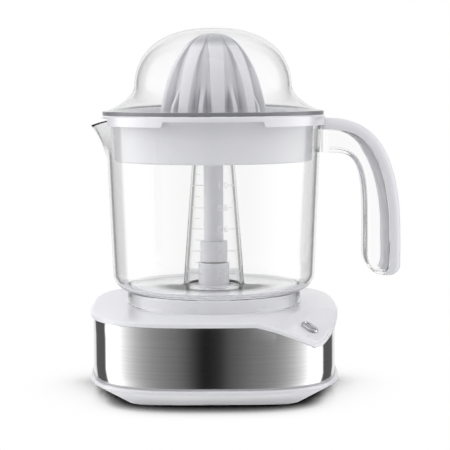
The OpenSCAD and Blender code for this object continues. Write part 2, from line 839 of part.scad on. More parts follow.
// Stations down the handle: each is [inner edge, outer edge] in X and Z
function handle_station(i) =
    i <= 9 ? let (t = 90 - i * 10,
                  o = quarter(handle_reach - root_x, handle_root_top - bend_z, 2.7, t),
                  n = quarter(grip_x - root_x, handle_root_low - bend_z, 4.3, t))
             [[root_x + n.x, bend_z + n.y], [root_x + o.x, bend_z + o.y]]
           : let (t = (i - 9) * 22.5)
             [[grip_x + 13 - 13 * cos(t), handle_low_z + 14.7 - 14.7 * sin(t)],
              [handle_reach - 6.3 + 6.3 * cos(t), handle_low_z + 6.7 - 6.7 * sin(t)]];
handle_stations = [for (i = [0:13]) handle_station(i)];

function station_length(s) = norm(s[1] - s[0]);
function station_spine(s) = min(spine_t, station_length(s) * 0.5);

// Section points [distance from the inner edge, half width] set at a station
function place_section(s, points) =
    let (dir = (s[1] - s[0]) / station_length(s))
    [for (p = points) [s[0].x + dir.x * p[0], p[1], s[0].y + dir.y * p[0]]];

// Corner of a section: a quarter round of radius r, or one sharp point
function corner(r, place) =
    r == 0 ? [place] : [for (a = [0:30:90]) place + r * [1 - cos(a), sin(a) - 1]];
function half_section(from, to, w, r_from, r_to) =
    let (far = corner(r_to, [0, w]))
    concat(corner(r_from, [from, w]),
           [for (i = [len(far) - 1:-1:0]) [to - far[i][0], far[i][1]]]);
function section(from, to, w, r_from, r_to) =
    let (half = half_section(from, to, w, r_from, r_to))
    concat(half, [for (i = [len(half) - 1:-1:0]) [half[i][0], -half[i][1]]]);

module handle() {
    color([0.8, 0.85, 0.85, 0.4]) difference() {
        loft([for (s = handle_stations)
            let (q = station_length(s) - station_spine(s))
            place_section(s, section(0, q, handle_w / 2, min(6, q * 0.8), 0))]);
        loft([for (i = [1.4:11.4])
            let (s = handle_station(i), q = station_length(s) - station_spine(s))
            place_section(s, section(channel_wall, q + 1, handle_w / 2 - channel_wall, 2, 0))]);
    }
}

module handle_spine() {
    color("white") {
        loft([for (s = handle_stations)
            let (q = station_length(s), t = station_spine(s))
            place_section(s, section(q - t + 0.1, q, handle_w / 2, 0, min(6, t * 0.7)))]);
        // rib that plugs the channel
        loft([for (i = [2.4:10.4])
            let (s = handle_station(i), q = station_length(s) - station_spine(s))
            place_section(s, section(q - 6, q + 1, handle_w / 2 - channel_wall - 0.3, 1, 0))]);
    }
}

// =========================================================================
// Strainer, coupling, shaft, reamer and dust cover
// =========================================================================

module strainer() {
    top_r = rim_r - jug_wall - 2.6;
    floor_t = 2;
    spout_gap = 23;
    color("white") difference() {
        union() {
            rotate_extrude() polygon([
                [shaft_r + 0.08, basket_z], [basket_r - 1, basket_z],
                [basket_r, basket_z + 1], [top_r, flange_z], [rim_r + 0.4, flange_z],
                [rim_r + 0.4, flange_z - skirt_h], [flange_r, flange_z - skirt_h],
                [flange_r, flange_top - 0.6], [flange_r - 0.6, flange_top],
                [top_r - strainer_wall, flange_top],
                [basket_r - strainer_wall, basket_z + floor_t + 1],
                [basket_r - strainer_wall - 1, basket_z + floor_t],
                [collar_r + 2, basket_z + floor_t], [collar_r, basket_z + floor_t + 2],
                [collar_r - 1, collar_top], [shaft_r + 0.08, collar_top]
            ]);
        }
        // drainage slots in two rings
        for (i = [0:29]) rotate([0, 0, i * 12]) translate([51, 0, basket_z - 1])
            stadium(20, 1.8, floor_t + 2);
        for (i = [0:17]) rotate([0, 0, i * 20]) translate([29, 0, basket_z - 1])
            stadium(16, 1.8, floor_t + 2);
        // the skirt is cut away at the spout and at the handle
        rotate([0, 0, 180 - spout_gap]) rotate_extrude(angle = 2 * spout_gap)
            translate([flange_r - 3, flange_z - 20]) square([5, 20]);
        translate([flange_r - 6, -handle_w / 2 - 0.6, flange_z - 20])
            cube([10, handle_w + 1.2, 20]);
        // thumb recess along the front of the skirt, clear of the basket's wall
        difference() {
            translate([0, 0, flange_z - 10]) rotate([90, 0, 0])
                linear_extrude(flange_r + 5) polygon([
                    [-35, 0], [35, 0], [31.5, 13.4 - skirt_h], [-31.5, 13.4 - skirt_h]
                ]);
            translate([0, 0, flange_z - 12]) cylinder(r = rim_r + 0.2, h = 14);
        }
    }
}

module drive_coupling() {
    color("white") {
        difference() {
            translate([0, 0, coupling_z]) cylinder(r = coupling_r, h = coupling_h);
            translate([0, 0, coupling_z - e])
                cylinder(r = (hub_head + 0.5) / sqrt(3), h = socket_top - coupling_z + e, $fn = 6);
            translate([0, 0, coupling_z]) cylinder(r = rod_r + 0.5, h = coupling_h);
            translate([0, 0, web_top]) cylinder(r = shaft_r + 0.1, h = coupling_h);
        }
        // keys that turn the shaft
        for (side = [-1, 1]) translate([side * (shaft_r + 0.3 - key_d / 2), 0, web_top + 3.5])
            cube([key_d + 0.4, key_w, 7], center = true);
    }
}

module drive_shaft() {
    body_top = collar_top + 2;
    hex_top = reamer_top - 28;
    color("white") difference() {
        union() {
            translate([0, 0, shaft_z]) cylinder(r = shaft_r, h = body_top - shaft_z);
            translate([0, 0, body_top - e])
                cylinder(r = shaft_hex / sqrt(3), h = hex_top - body_top + e, $fn = 6);
        }
        for (side = [-1, 1]) translate([side * shaft_r, 0, shaft_z + 6 - e])
            cube([2 * key_d + 1, key_w + 0.3, 12], center = true);
    }
}

// Fluted skin of the reamer: tall ribs run to the tip, short ribs stop halfway
module reamer_skin() {
    shape_power = 2.15;
    rib_az = 6 - 90;
    // Half a rib and flute: [way round from the crest's middle, depth]
    function half_rib(r, rise) =
        let (half = PI * r / reamer_ribs,
             crest = min(rib_w / 2 * (0.85 + 0.45 * rise), 0.8 * half),
             flute = half - crest,
             deep = min(flute_depth * r, 0.8 * flute),
             short = 0.7 * deep * max(0, min(1, (0.36 - rise) / 0.16)))
        [[0, 0], [crest, 0], [crest + 0.24 * flute, 0.85 * deep], [half - 0.42 * flute, deep],
         [half - 0.2 * flute, deep - 0.95 * short], [half, deep - short]];
    function ring(r, rise, z) =
        let (side = half_rib(r, rise), pitch = 2 * PI * r / reamer_ribs,
             whole = concat(side, [for (i = [4:-1:1]) [pitch - side[i].x, side[i].y]]))
        [for (k = [0:reamer_ribs - 1], p = whole)
            let (az = rib_az + (k * pitch + p.x) / r * 180 / PI)
            [(r - p.y) * cos(az), (r - p.y) * sin(az), z]];
    levels = [0, 8, 16, 24, 34, 44, 54, 63, 71, 78, 84, 87.5];
    loft([
        for (t = levels)
            let (p = quarter(reamer_r, reamer_h, shape_power, t))
            ring(p.x, p.y / reamer_h, reamer_z + max(0.6, p.y))
    ]);
}
module reamer() {
    inner_r = reamer_r * (1 - flute_depth) - 2.4;
    inner_h = reamer_h - 8;
    boss_low = collar_top + press_travel + 1;
    color("white") {
        difference() {
            union() {
                reamer_skin();
                translate([0, 0, reamer_z]) cylinder(r = reamer_r + 1, h = 1.6);
            }
            rotate_extrude() polygon(concat(
                [[0, reamer_z - 1], [inner_r, reamer_z - 1]],
                [for (t = [0:10:80]) quarter(inner_r, inner_h, 2.1, t) + [0, reamer_z]],
                [[0, reamer_z + inner_h]]
            ));
        }
        difference() {
            translate([0, 0, boss_low]) cylinder(r = 9, h = reamer_top - 9.5 - boss_low);
            translate([0, 0, boss_low - 1])
                cylinder(r = (shaft_hex + 0.2) / sqrt(3), h = reamer_top - 27.5 - boss_low + 1, $fn = 6);
        }
    }
}

module dust_cover() {
    cove_h = 15.5;
    cove_top = dome_z + 2.5 + cove_h;
    belt_z = cove_top - 3;
    cove_w = dome_flange_r - dome_r - 0.1;
    rib_r = rim_r - jug_wall - 2.6 - strainer_wall - 0.6;
    function cove(in) = [for (t = [0:15:90])
        let (q = quarter(cove_w + in, cove_h + in, 1.5, t))
        [dome_flange_r - q.x, cove_top - q.y]];
    function dome(in) = [for (t = [90:-7.5:7.5])
        quarter(dome_r - in, dome_top - belt_z - in, 2.4, t) + [0, belt_z]];
    inner = concat(dome(dome_wall), cove(dome_wall));
    color([0.85, 0.9, 0.9, 0.35]) {
        rotate_extrude() polygon(concat(
            dome(0), cove(0), [[dome_flange_r, dome_z], [dome_flange_r - 3, dome_z]],
            [for (i = [len(inner) - 2:-1:0]) inner[i]]
        ));
        // rib that centres the dome in the strainer
        translate([0, 0, dome_z - 2.1]) tube(rib_r, rib_r - 1.6, 7.1);
    }
}

// =========================================================================

top_cover();
steel_band();
base_pan();
feet();
base_screws();
indicator_bezel();
indicator_lens();
indicator_lamp();
spindle_bush();
gearbox_plate();
plate_screws();
gear_pin();
idler_gear();
output_gear();
push_rod();
return_spring();
rotor_shaft();
rotor_magnet();
rotor_pinion();
stator_core();
stator_coils();
motor_bracket();
motor_screws();
micro_switch();
switch_button();
cord_gland();
jug();
handle();
handle_spine();
strainer();
drive_coupling();
drive_shaft();
reamer();
dust_cover();
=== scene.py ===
"""Citrus press juicer: a white motor base with a brushed steel band, a clear
jug, a white strainer and reamer, and a clear dome, on a white studio sweep.
Lengths are in metres; profiles are written in millimetres and scaled by MM.
"""
import math

import bmesh
import bpy
from mathutils import Euler, Matrix, Vector


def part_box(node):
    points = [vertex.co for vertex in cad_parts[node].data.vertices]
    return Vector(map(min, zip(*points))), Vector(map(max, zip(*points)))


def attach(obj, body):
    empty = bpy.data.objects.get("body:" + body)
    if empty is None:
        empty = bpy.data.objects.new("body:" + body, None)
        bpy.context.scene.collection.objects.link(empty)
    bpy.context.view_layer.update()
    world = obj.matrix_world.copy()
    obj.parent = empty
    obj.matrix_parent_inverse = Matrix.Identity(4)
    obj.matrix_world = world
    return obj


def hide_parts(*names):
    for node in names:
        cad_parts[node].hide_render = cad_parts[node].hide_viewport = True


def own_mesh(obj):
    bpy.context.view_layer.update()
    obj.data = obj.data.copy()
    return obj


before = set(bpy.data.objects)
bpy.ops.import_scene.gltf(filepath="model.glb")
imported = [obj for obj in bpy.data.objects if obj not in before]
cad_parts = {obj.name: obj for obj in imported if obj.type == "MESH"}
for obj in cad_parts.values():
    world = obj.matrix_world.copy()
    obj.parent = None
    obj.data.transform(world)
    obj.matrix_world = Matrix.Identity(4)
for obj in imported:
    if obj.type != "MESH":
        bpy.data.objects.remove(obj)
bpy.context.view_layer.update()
MM = 0.001


# ---- Camera -----------------------------------------------------------------
# A long lens one metre in front of the jug, a little above the middle of it,
# tipped down and a hair off level. The shift sets the object left of centre.

camera_data = bpy.data.cameras.new("camera")
camera = bpy.data.objects.new("camera", camera_data)
bpy.context.scene.collection.objects.link(camera)
bpy.context.scene.camera = camera
camera_data.lens = 117.76
camera_data.sensor_width = 36
camera_data.shift_x = 0.0252
camera_data.clip_start = 0.05
tip_down, roll = 5.42, -0.29
camera_tip = Euler((math.radians(90 - tip_down), 0, 0)).to_matrix()
camera_roll = Matrix.Rotation(math.radians(roll), 3, "Z")
camera.rotation_euler = (camera_tip @ camera_roll).to_euler()
camera.location = (0, -0.989, 0.2074)


# ---- Studio -----------------------------------------------------------------
# A white sweep lit from all round. Tall soft boxes stand at both sides, black
# flags behind them draw the edges of steel and clear plastic, and the side
# towards the front is dim.

scene = bpy.context.scene
scene.view_settings.view_transform = "Standard"
# Light passes many clear walls, one inside another
scene.cycles.transparent_max_bounces = 32
scene.cycles.transmission_bounces = 20
scene.cycles.max_bounces = 20


def node(tree, kind, inputs=None, **settings):
    """A shader node with its settings and the values or links of its inputs."""
    family = "Node" if kind in ("GroupInput", "GroupOutput") else "ShaderNode"
    made = tree.nodes.new(family + kind)
    for name, value in settings.items():
        setattr(made, name, value)
    for key, value in (inputs or {}).items():
        socket = made.inputs[key]
        if isinstance(value, bpy.types.NodeSocket):
            tree.links.new(value, socket)
        else:
            socket.default_value = value
    return made


def maths(tree, operation, *values):
    """Result of a Math node on its values or links."""
    return node(tree, "Math", dict(enumerate(values)), operation=operation).outputs[0]


def remapped(tree, value, given_range, new_range=(0, 1)):
    """A value taken from one range to another, and held within it."""
    return node(tree, "MapRange", {
        "Value": value, "From Min": given_range[0], "From Max": given_range[1],
        "To Min": new_range[0], "To Max": new_range[1],
    }).outputs["Result"]


def scaled(tree, colour, factor):
    """A colour made darker or lighter by a factor."""
    return node(tree, "VectorMath", {0: colour, "Scale": factor}, operation="SCALE").outputs[0]


def mixed(tree, share, colour, other):
    """A colour, a share of the way to another."""
    return node(tree, "Mix", {0: share, 6: colour, 7: other}, data_type="RGBA").outputs[2]


def ramp(tree, factor, stops):
    """A colour ramp of grey stops, each a place and a level."""
    made = node(tree, "ValToRGB", {"Fac": factor})
    while len(made.color_ramp.elements) < len(stops):
        made.color_ramp.elements.new(0.5)
    for element, (place, level) in zip(made.color_ramp.elements, stops):
        element.position = place
        element.color = (level, level, level, 1)
    return made.outputs["Color"]


# Levels round the horizon, from the front (0) to the back (180 degrees)
soft_boxes = [
    (18, 0.33), (28, 0.43), (38, 0.57), (49, 0.78), (62, 1.15), (70, 1.45), (77, 1.75),
    (84, 2.1), (94, 2.3), (113, 2.3), (119, 0.14), (150, 0.14), (155, 1), (180, 1),
]
seen_in_gloss_left = [
    (0, 0.005), (0.8, 0.008), (1.6, 0.04), (3.4, 0.1), (6, 0.18), (10, 0.25), *soft_boxes,
]
seen_in_gloss_right = [
    (0, 0.005), (0.3, 0.01), (0.45, 0.03), (0.7, 0.085), (0.9, 0.11), (1.5, 0.13),
    (2.5, 0.155), (5.2, 0.205), (10, 0.27), *soft_boxes,
]
falling_on_paint = [
    (0, 0.2), (30, 0.28), (55, 0.7), (73, 1.8), (92, 2.7), (115, 2.7), (140, 1.1), (180, 0.8),
]
seen_through = [
    (0, 0.6), (40, 0.65), (70, 0.85), (115, 0.9), (122, 0.36), (150, 0.36),
    (160, 1), (180, 1),
]

world = bpy.data.worlds.new("studio")
scene.world = world
world.use_nodes = True
sky = world.node_tree
sky.nodes.clear()
view = node(sky, "TexCoord").outputs["Generated"]
bearing = node(sky, "SeparateXYZ", {0: view}).outputs
toward_front = maths(sky, "MULTIPLY", bearing["Y"], -1)
turn = maths(sky, "ABSOLUTE", maths(sky, "ARCTAN2", bearing["X"], toward_front))
turn_share = maths(sky, "DIVIDE", turn, math.pi)
overhead = remapped(sky, bearing["Z"], (0.35, 0.85))


def level_of(stops, top):
    """Grey level of the sky for these stops, which turn to `top` overhead."""
    around = ramp(sky, turn_share, [(degrees / 180, level) for degrees, level in stops])
    return mixed(sky, overhead, around, (top, top, top, 1))


# A key light, high in front, over light that is dimmer on the right
key_direction = (0.08, -0.5, 0.862)
key_narrowness = 16
key_strength = 2.8
dimmer_right = remapped(sky, bearing["X"], (-1, 1), (1.12, 0.68))
around_paint = scaled(sky, level_of(falling_on_paint, 0.65), dimmer_right)
toward_key = node(
    sky, "VectorMath", {0: view, 1: key_direction}, operation="DOT_PRODUCT",
).outputs["Value"]
key_lobe = maths(sky, "POWER", maths(sky, "MAXIMUM", toward_key, 0), key_narrowness)
key_level = maths(sky, "MULTIPLY", key_lobe, key_strength)
level = node(sky, "VectorMath", {0: around_paint, 1: key_level}, operation="ADD").outputs[0]
on_right = maths(sky, "GREATER_THAN", bearing["X"], 0)
in_gloss = mixed(
    sky, on_right, level_of(seen_in_gloss_left, 0.9), level_of(seen_in_gloss_right, 0.9))
ray = node(sky, "LightPath").outputs
for chooser, other in (
    ("Is Glossy Ray", in_gloss),
    ("Is Transmission Ray", level_of(seen_through, 1)),
    ("Is Camera Ray", (1, 1, 1, 1)),
):
    level = mixed(sky, ray[chooser], level, other)
background = node(sky, "Background", {"Color": level, "Strength": 1})
node(sky, "OutputWorld", {"Surface": background.outputs[0]})


# ---- Floor ------------------------------------------------------------------
# A plain white sweep with a painted shadow. Seen straight or through clear
# plastic it glows white, darkened where the object stands between it and the open
# front, painted darker by a ramp on its place the further back it lies, and
# darkest where the two touch. Steel and gloss look past it at the lights and flags.


def material_named(name):
    """An empty node material, with its tree and its output node."""
    made = bpy.data.materials.new(name)
    made.use_nodes = True
    made.node_tree.nodes.clear()
    return made, made.node_tree, node(made.node_tree, "OutputMaterial")


sweep_white, tree, output = material_named("sweep_white")
front_and_up = node(tree, "CombineXYZ", {"Y": -0.8, "Z": 0.6}).outputs[0]


def open_within(distance):
    """Share of the way to the front that is open, up to a distance in metres."""
    facing = {"Normal": front_and_up, "Distance": distance}
    return node(tree, "AmbientOcclusion", facing).outputs["AO"]


shadow_reach = 0.07
contact_reach = 0.011
place = node(tree, "TexCoord").outputs["Object"]
depth = node(tree, "SeparateXYZ", {0: place}).outputs["Y"]
# Painted shadow: a ramp on the floor's own place, front to back, deepens the shade behind the
# object
painted_shadow_behind = ramp(tree, remapped(tree, depth, (-0.1, 0.1)), [
    (0.37, 1), (0.655, 1.46), (0.72, 1.4), (0.95, 0.55),
])
closed = maths(tree, "SUBTRACT", 1, open_within(shadow_reach))
closed = maths(tree, "MULTIPLY", closed, painted_shadow_behind)
shadow = ramp(tree, maths(tree, "SUBTRACT", 1, closed), [
    (0.36, 0.002), (0.4, 0.04), (0.42, 0.14), (0.44, 0.3), (0.46, 0.42), (0.49, 0.57),
    (0.52, 0.68), (0.56, 0.77), (0.61, 0.86), (0.68, 0.93), (0.78, 0.975), (0.92, 1),
])
# Painted shadow where the floor meets the object, from a short ambient occlusion
painted_contact_shadow = remapped(tree, open_within(contact_reach), (0.45, 0.85), (0.06, 1))
glow = node(tree, "Emission", {"Color": scaled(tree, shadow, painted_contact_shadow)})
paint = node(tree, "BsdfDiffuse", {"Color": (0.9, 0.9, 0.9, 1)})
unseen = node(tree, "BsdfTransparent")
ray = node(tree, "LightPath").outputs
in_view = maths(tree, "MAXIMUM", ray["Is Camera Ray"], ray["Is Transmission Ray"])
lit = node(tree, "MixShader", {0: in_view, 1: paint.outputs[0], 2: glow.outputs[0]})
from_below = node(tree, "NewGeometry").outputs["Backfacing"]
look_past = maths(tree, "MAXIMUM", ray["Is Glossy Ray"], from_below)
floor_mix = node(tree, "MixShader", {0: look_past, 1: lit.outputs[0], 2: unseen.outputs[0]})
tree.links.new(floor_mix.outputs[0], output.inputs["Surface"])

sweep_r = 4
sweep_mesh = bmesh.new()
bmesh.ops.create_circle(sweep_mesh, cap_ends=True, segments=96, radius=sweep_r)
sweep_data = bpy.data.meshes.new("sweep")
sweep_mesh.to_mesh(sweep_data)
sweep_mesh.free()
sweep = bpy.data.objects.new("sweep", sweep_data)
scene.collection.objects.link(sweep)
sweep_data.materials.append(sweep_white)


# ---- Base pan ---------------------------------------------------------------
# A white plastic moulding. Its ledge carries the steel band, and below that its
# side runs in to a smaller flat footprint, with a finger notch in front and
# cooling slots under the motor.


def superellipse(half_width, half_depth, power, bearing_angle):
    """Distance from the axis to a superellipse at a bearing."""
    x = abs(math.cos(bearing_angle)) / half_width
    y = abs(math.sin(bearing_angle)) / half_depth
    return (x**power + y**power) ** (-1 / power)


def first_ring(bm, points):
    """A closed loop of corners through the points, as a list in order."""
    bmesh.ops.create_circle(bm, segments=len(points), radius=1)
    ring = sorted(bm.verts, key=lambda v: math.atan2(v.co.y, v.co.x) % math.tau)
    for vert, point in zip(ring, points):
        vert.co = point
    return ring


def next_ring(bm, ring, points):
    """Extrudes a closed loop and sets its new corners to the points."""
    pairs = zip(ring, ring[1:] + ring[:1])
    edges = [bm.edges.get(pair) for pair in pairs]
    grown = bmesh.ops.extrude_edge_only(bm, edges=edges)["geom"]
    fresh = {v for v in grown if isinstance(v, bmesh.types.BMVert)}
    ring = [
        next(e.other_vert(v) for e in v.link_edges if e.other_vert(v) in fresh) for v in ring
    ]
    for vert, point in zip(ring, points):
        vert.co = point
    return ring


def loft(bm, rings, close=False):
    """Skin over rings of points; `close` joins the last ring to the first."""
    first = ring = first_ring(bm, rings[0])
    for points in rings[1:]:
        ring = next_ring(bm, ring, points)
    if close:
        pairs = [pair for end in (first, ring) for pair in zip(end, end[1:] + end[:1])]
        bmesh.ops.bridge_loops(bm, edges=[bm.edges.get(pair) for pair in pairs])
    else:
        bmesh.ops.contextual_create(bm, geom=first)
        bmesh.ops.contextual_create(bm, geom=ring)


def shown(name, bm, material, body, sharp=35, turn_outward=True):
    """Makes the object of a finished mesh, smooth but for its sharp edges."""
    if turn_outward:
        bmesh.ops.recalc_face_normals(bm, faces=bm.faces)
    for face in bm.faces:
        face.smooth = True
    for edge in bm.edges:
        if len(edge.link_faces) == 2:
            edge.smooth = edge.calc_face_angle() < math.radians(sharp)
    mesh = bpy.data.meshes.new(name)
    bm.to_mesh(mesh)
    bm.free()
    made = bpy.data.objects.new(name, mesh)
    scene.collection.objects.link(made)
    mesh.materials.append(material)
    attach(made, body)
    return made


def cut_out(bm, cutters):
    """Takes the closed forms in `cutters` out of the closed form in `bm`."""
    objects = []
    for form in (bm, cutters):
        bmesh.ops.recalc_face_normals(form, faces=form.faces)
        mesh = bpy.data.meshes.new("form")
        form.to_mesh(mesh)
        objects.append(bpy.data.objects.new("form", mesh))
        scene.collection.objects.link(objects[-1])
    piece, cutter = objects
    cutters.free()
    modifier = piece.modifiers.new("cut", "BOOLEAN")
    modifier.object = cutter
    evaluated = piece.evaluated_get(bpy.context.evaluated_depsgraph_get())
    left = bpy.data.meshes.new_from_object(evaluated)
    bm.clear()
    bm.from_mesh(left)
    bpy.data.meshes.remove(left)
    for made in objects:
        bpy.data.meshes.remove(made.data)


def add_rod(bm, radius, start, end, stretch=0):
    """Adds a rod, in millimetres; `stretch` pulls its round section out along Y."""
    middle, run = (start + end) / 2, end - start
    turned = run.to_track_quat("Z", "Y").to_matrix().to_4x4()
    rod = bmesh.ops.create_cone(
        bm, cap_ends=True, segments=32, radius1=radius, radius2=radius, depth=run.length,
        matrix=Matrix.Translation(middle) @ turned)
    for vert in rod["verts"]:
        vert.co.y += math.copysign(stretch, vert.co.y - middle.y) if stretch else 0
        vert.co *= MM


def arc(centre, radius, start, end, steps=6):
    """Points of an arc in a profile, in degrees from the outward direction."""
    for i in range(steps + 1):
        a = math.radians(start + (end - start) * i / steps)
        yield centre[0] + radius * math.cos(a), centre[1] + radius * math.sin(a)


# Shader group: moulded plastic with a faint grain and uneven sheen
moulded = bpy.data.node_groups.new("moulded_surface", "ShaderNodeTree")
for name, kind in (
    ("Colour", "NodeSocketColor"), ("Sheen", "NodeSocketFloat"),
    ("Grain per metre", "NodeSocketFloat"), ("Grain depth", "NodeSocketFloat"),
):
    moulded.interface.new_socket(name, in_out="INPUT", socket_type=kind)
for name, kind in (
    ("Colour", "NodeSocketColor"), ("Roughness", "NodeSocketFloat"),
    ("Normal", "NodeSocketVector"),
):
    moulded.interface.new_socket(name, in_out="OUTPUT", socket_type=kind)
given = node(moulded, "GroupInput").outputs
place = node(moulded, "TexCoord").outputs["Object"]
grain = node(moulded, "TexNoise", {
    "Vector": place, "Scale": given["Grain per metre"], "Detail": 3, "Roughness": 0.6,
}).outputs["Fac"]
cloud = node(moulded, "TexNoise", {"Vector": place, "Scale": 18, "Detail": 2}).outputs["Fac"]
uneven = remapped(moulded, cloud, (0.3, 0.7), (-0.04, 0.04))
tone = remapped(moulded, cloud, (0.3, 0.7), (0.985, 1))
relief = node(moulded, "Bump", {
    "Height": grain, "Strength": 0.4, "Distance": given["Grain depth"],
}).outputs["Normal"]
node(moulded, "GroupOutput", {
    "Colour": scaled(moulded, given["Colour"], tone),
    "Roughness": maths(moulded, "ADD", given["Sheen"], uneven),
    "Normal": relief,
})


def moulded_surface(tree, colour, sheen, grain_per_metre, grain_depth):
    """Outputs of the moulded surface's group, placed with its own values."""
    return node(tree, "Group", {
        "Colour": (*colour, 1), "Sheen": sheen,
        "Grain per metre": grain_per_metre, "Grain depth": grain_depth,
    }, node_tree=moulded).outputs


def plastic(
    name, colour, sheen=0.35, grain_per_metre=2500, grain_depth=0.00002,
    coat=0.0, coat_ior=1.5, groove_shade_colour=None,
):
    """Opaque moulded plastic or rubber, which may carry painted shade: a colour that it
    darkens towards deep in its grooves.
    """
    made, tree, output = material_named(name)
    surface = moulded_surface(tree, colour, sheen, grain_per_metre, grain_depth)
    base_colour = surface["Colour"]
    if groove_shade_colour:
        # Painted shade: ambient occlusion darkens the colour towards the given grey in grooves
        groove_width = 0.009
        openness = node(tree, "AmbientOcclusion", {"Distance": groove_width}).outputs["AO"]
        groove = remapped(tree, openness, (0.95, 0.45))
        base_colour = mixed(tree, groove, base_colour, (*groove_shade_colour, 1))
    body = node(tree, "BsdfPrincipled", {
        "Base Color": base_colour,
        "Roughness": surface["Roughness"],
        "Normal": surface["Normal"],
        "Coat Weight": coat,
        "Coat Roughness": 0.2,
        "Coat IOR": coat_ior,
    })
    tree.links.new(body.outputs[0], output.inputs["Surface"])
    return made


white_plastic = plastic("white_plastic", (0.775, 0.775, 0.81), sheen=0.32, coat=0.15)


def box_mm(name):
    """Lowest and highest corner of a CAD node, in millimetres."""
    return [[v / MM for v in corner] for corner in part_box(name)]


ring_corners = 256
bearings = [math.tau * i / ring_corners for i in range(ring_corners)]
base_power = 3.26
foot_power = 7
foot_bow, bow_power = 0.08, 2.4
pan_z = box_mm("base_pan")[0][2]
band_low, band_high = box_mm("steel_band")
ledge_z = band_low[2]
cover_half_w, cover_half_d, cover_top = box_mm("top_cover")[1]


def base_ring(inset, z):
    """Ring of the base's outline, `inset` inside the cover's edge, at height z."""
    half_w, half_d = cover_half_w - inset, cover_half_d - inset
    return [
        Vector((r * math.cos(a) * MM, r * math.sin(a) * MM, z * MM))
        for a in bearings
        for r in (superellipse(half_w, half_d, base_power, a),)
    ]


def foot_ring(half_w, half_d, z):
    """Ring of the squarer footprint at height z, a little bowed."""
    points = []
    for a in bearings:
        r = (1 - foot_bow) * superellipse(half_w, half_d, foot_power, a)
        r += foot_bow * superellipse(half_w, half_d, bow_power, a)
        points.append(Vector((r * math.cos(a), r * math.sin(a), z)) * MM)
    return points


def between(ring_a, ring_b, share):
    """Ring a share of the way from one ring to another."""
    return [a.lerp(b, share) for a, b in zip(ring_a, ring_b)]


# Insets from the cover's edge: the ledge stands a little proud of it, and the
# spigot goes up inside the band
ledge_inset = -0.2
spigot_inset, spigot_height = 2.65, 16
pan_wall = 2
foot_half_w, foot_half_d = 58.3, 52.4
inside_half_w, inside_half_d, floor_top_z = 56.1, 50.2, 4.1
low_ring = foot_ring(foot_half_w, foot_half_d, pan_z)
edge_ring = base_ring(ledge_inset + 0.5, ledge_z - 2.4)
pan = bmesh.new()
loft(pan, [
    *[between(low_ring, edge_ring, share)
      for share in (0.012, 0.04, 0.1, 0.3, 0.5, 0.7, 0.9, 0.97)],
    *[base_ring(ledge_inset + back, ledge_z - below) for back, below in (
        (0.25, 2.15), (0.05, 1.8), (0, 1.3), (0, 0.7), (0.15, 0.25), (0.5, 0))],
    base_ring(spigot_inset, ledge_z),
    base_ring(spigot_inset, ledge_z + spigot_height),
    base_ring(spigot_inset + pan_wall, ledge_z + spigot_height),
    base_ring(spigot_inset + pan_wall, ledge_z - 1.2),
    foot_ring(inside_half_w, inside_half_d, floor_top_z),
])
notch_half_w, notch_height, notch_depth = 6.5, 2, 3.4
notch_from_y = -35
for vert in pan.verts:
    x, y, z = vert.co / MM
    if y < notch_from_y and z < pan_z + 0.6 and abs(x) < notch_half_w:
        vert.co.z += notch_height * MM
        vert.co.y -= notch_depth * MM

slot_half_w, slot_stretch, slot_gap = 1.1, 13.9, 6
rotor_low, rotor_high = box_mm("rotor_magnet")
rotor_x = (rotor_low[0] + rotor_high[0]) / 2
rotor_y = (rotor_low[1] + rotor_high[1]) / 2
pan_cuts = bmesh.new()
for i in range(-2, 3):
    x = rotor_x + slot_gap * i
    below, above = Vector((x, rotor_y, -1)), Vector((x, rotor_y, 8))
    add_rod(pan_cuts, slot_half_w, below, above, slot_stretch)
gland_hole_r = 5
gland_low, gland_high = box_mm("cord_gland")
gland_z = (gland_low[2] + gland_high[2]) / 2
gland_hole = Vector((0, cover_half_d - 15, gland_z)), Vector((0, cover_half_d + 5, gland_z))
add_rod(pan_cuts, gland_hole_r, *gland_hole)
cut_out(pan, pan_cuts)
pan_piece = shown("pan_shell", pan, white_plastic, "base")
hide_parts("base_pan")


# ---- Feet, screws and cord gland --------------------------------------------
# Four rubber feet pressed into the pan round the steel screws that hold the
# base together, and a rubber gland at the back.


def dress(material, *names):
    """Gives CAD nodes a finish in place of their plain one."""
    for name in names:
        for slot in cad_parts[name].material_slots:
            slot.material = material


dark_rubber = plastic("dark_rubber", (0.035, 0.035, 0.037), sheen=0.7, grain_depth=0.00008)
dress(dark_rubber, "feet", "cord_gland")


def metal(name, colour, roughness, grain_depth):
    """Bare metal with a fine grain."""
    made, tree, output = material_named(name)
    surface = moulded_surface(tree, colour, roughness, 4000, grain_depth)
    body = node(tree, "BsdfPrincipled", {
        "Base Color": surface["Colour"],
        "Roughness": surface["Roughness"],
        "Normal": surface["Normal"],
        "Metallic": 1,
    })
    tree.links.new(body.outputs[0], output.inputs["Surface"])
    return made


bright_steel = metal("bright_steel", (0.62, 0.63, 0.65), 0.22, 0.00001)
dress(bright_steel, "base_screws", "plate_screws", "motor_screws", "gear_pin",
      "rotor_shaft", "motor_bracket", "push_rod")


# ---- Steel band -------------------------------------------------------------
# A strip of stainless steel, brushed along its length and wrapped round the
# base. Its upper edge tucks behind the cover's lip and follows the tongue.

tongue_az = math.radians(-47.5)
tongue_span = math.radians(27)
tongue_drop = 17.4
tongue_tip = math.radians(2.45)


def droop(a):
    """How far the cover's edge hangs below its usual height at a bearing."""
    off = abs((a - tongue_az + math.pi) % math.tau - math.pi)
    soft = math.hypot(off, tongue_tip)
    return tongue_drop * (1 - soft / tongue_span) ** 1.3 if soft < tongue_span else 0


def drooped_ring(inset, z):
    """Ring of the base's outline that follows the cover's drooping edge."""
    return [p - Vector((0, 0, droop(a) * MM)) for p, a in zip(base_ring(inset, z), bearings)]


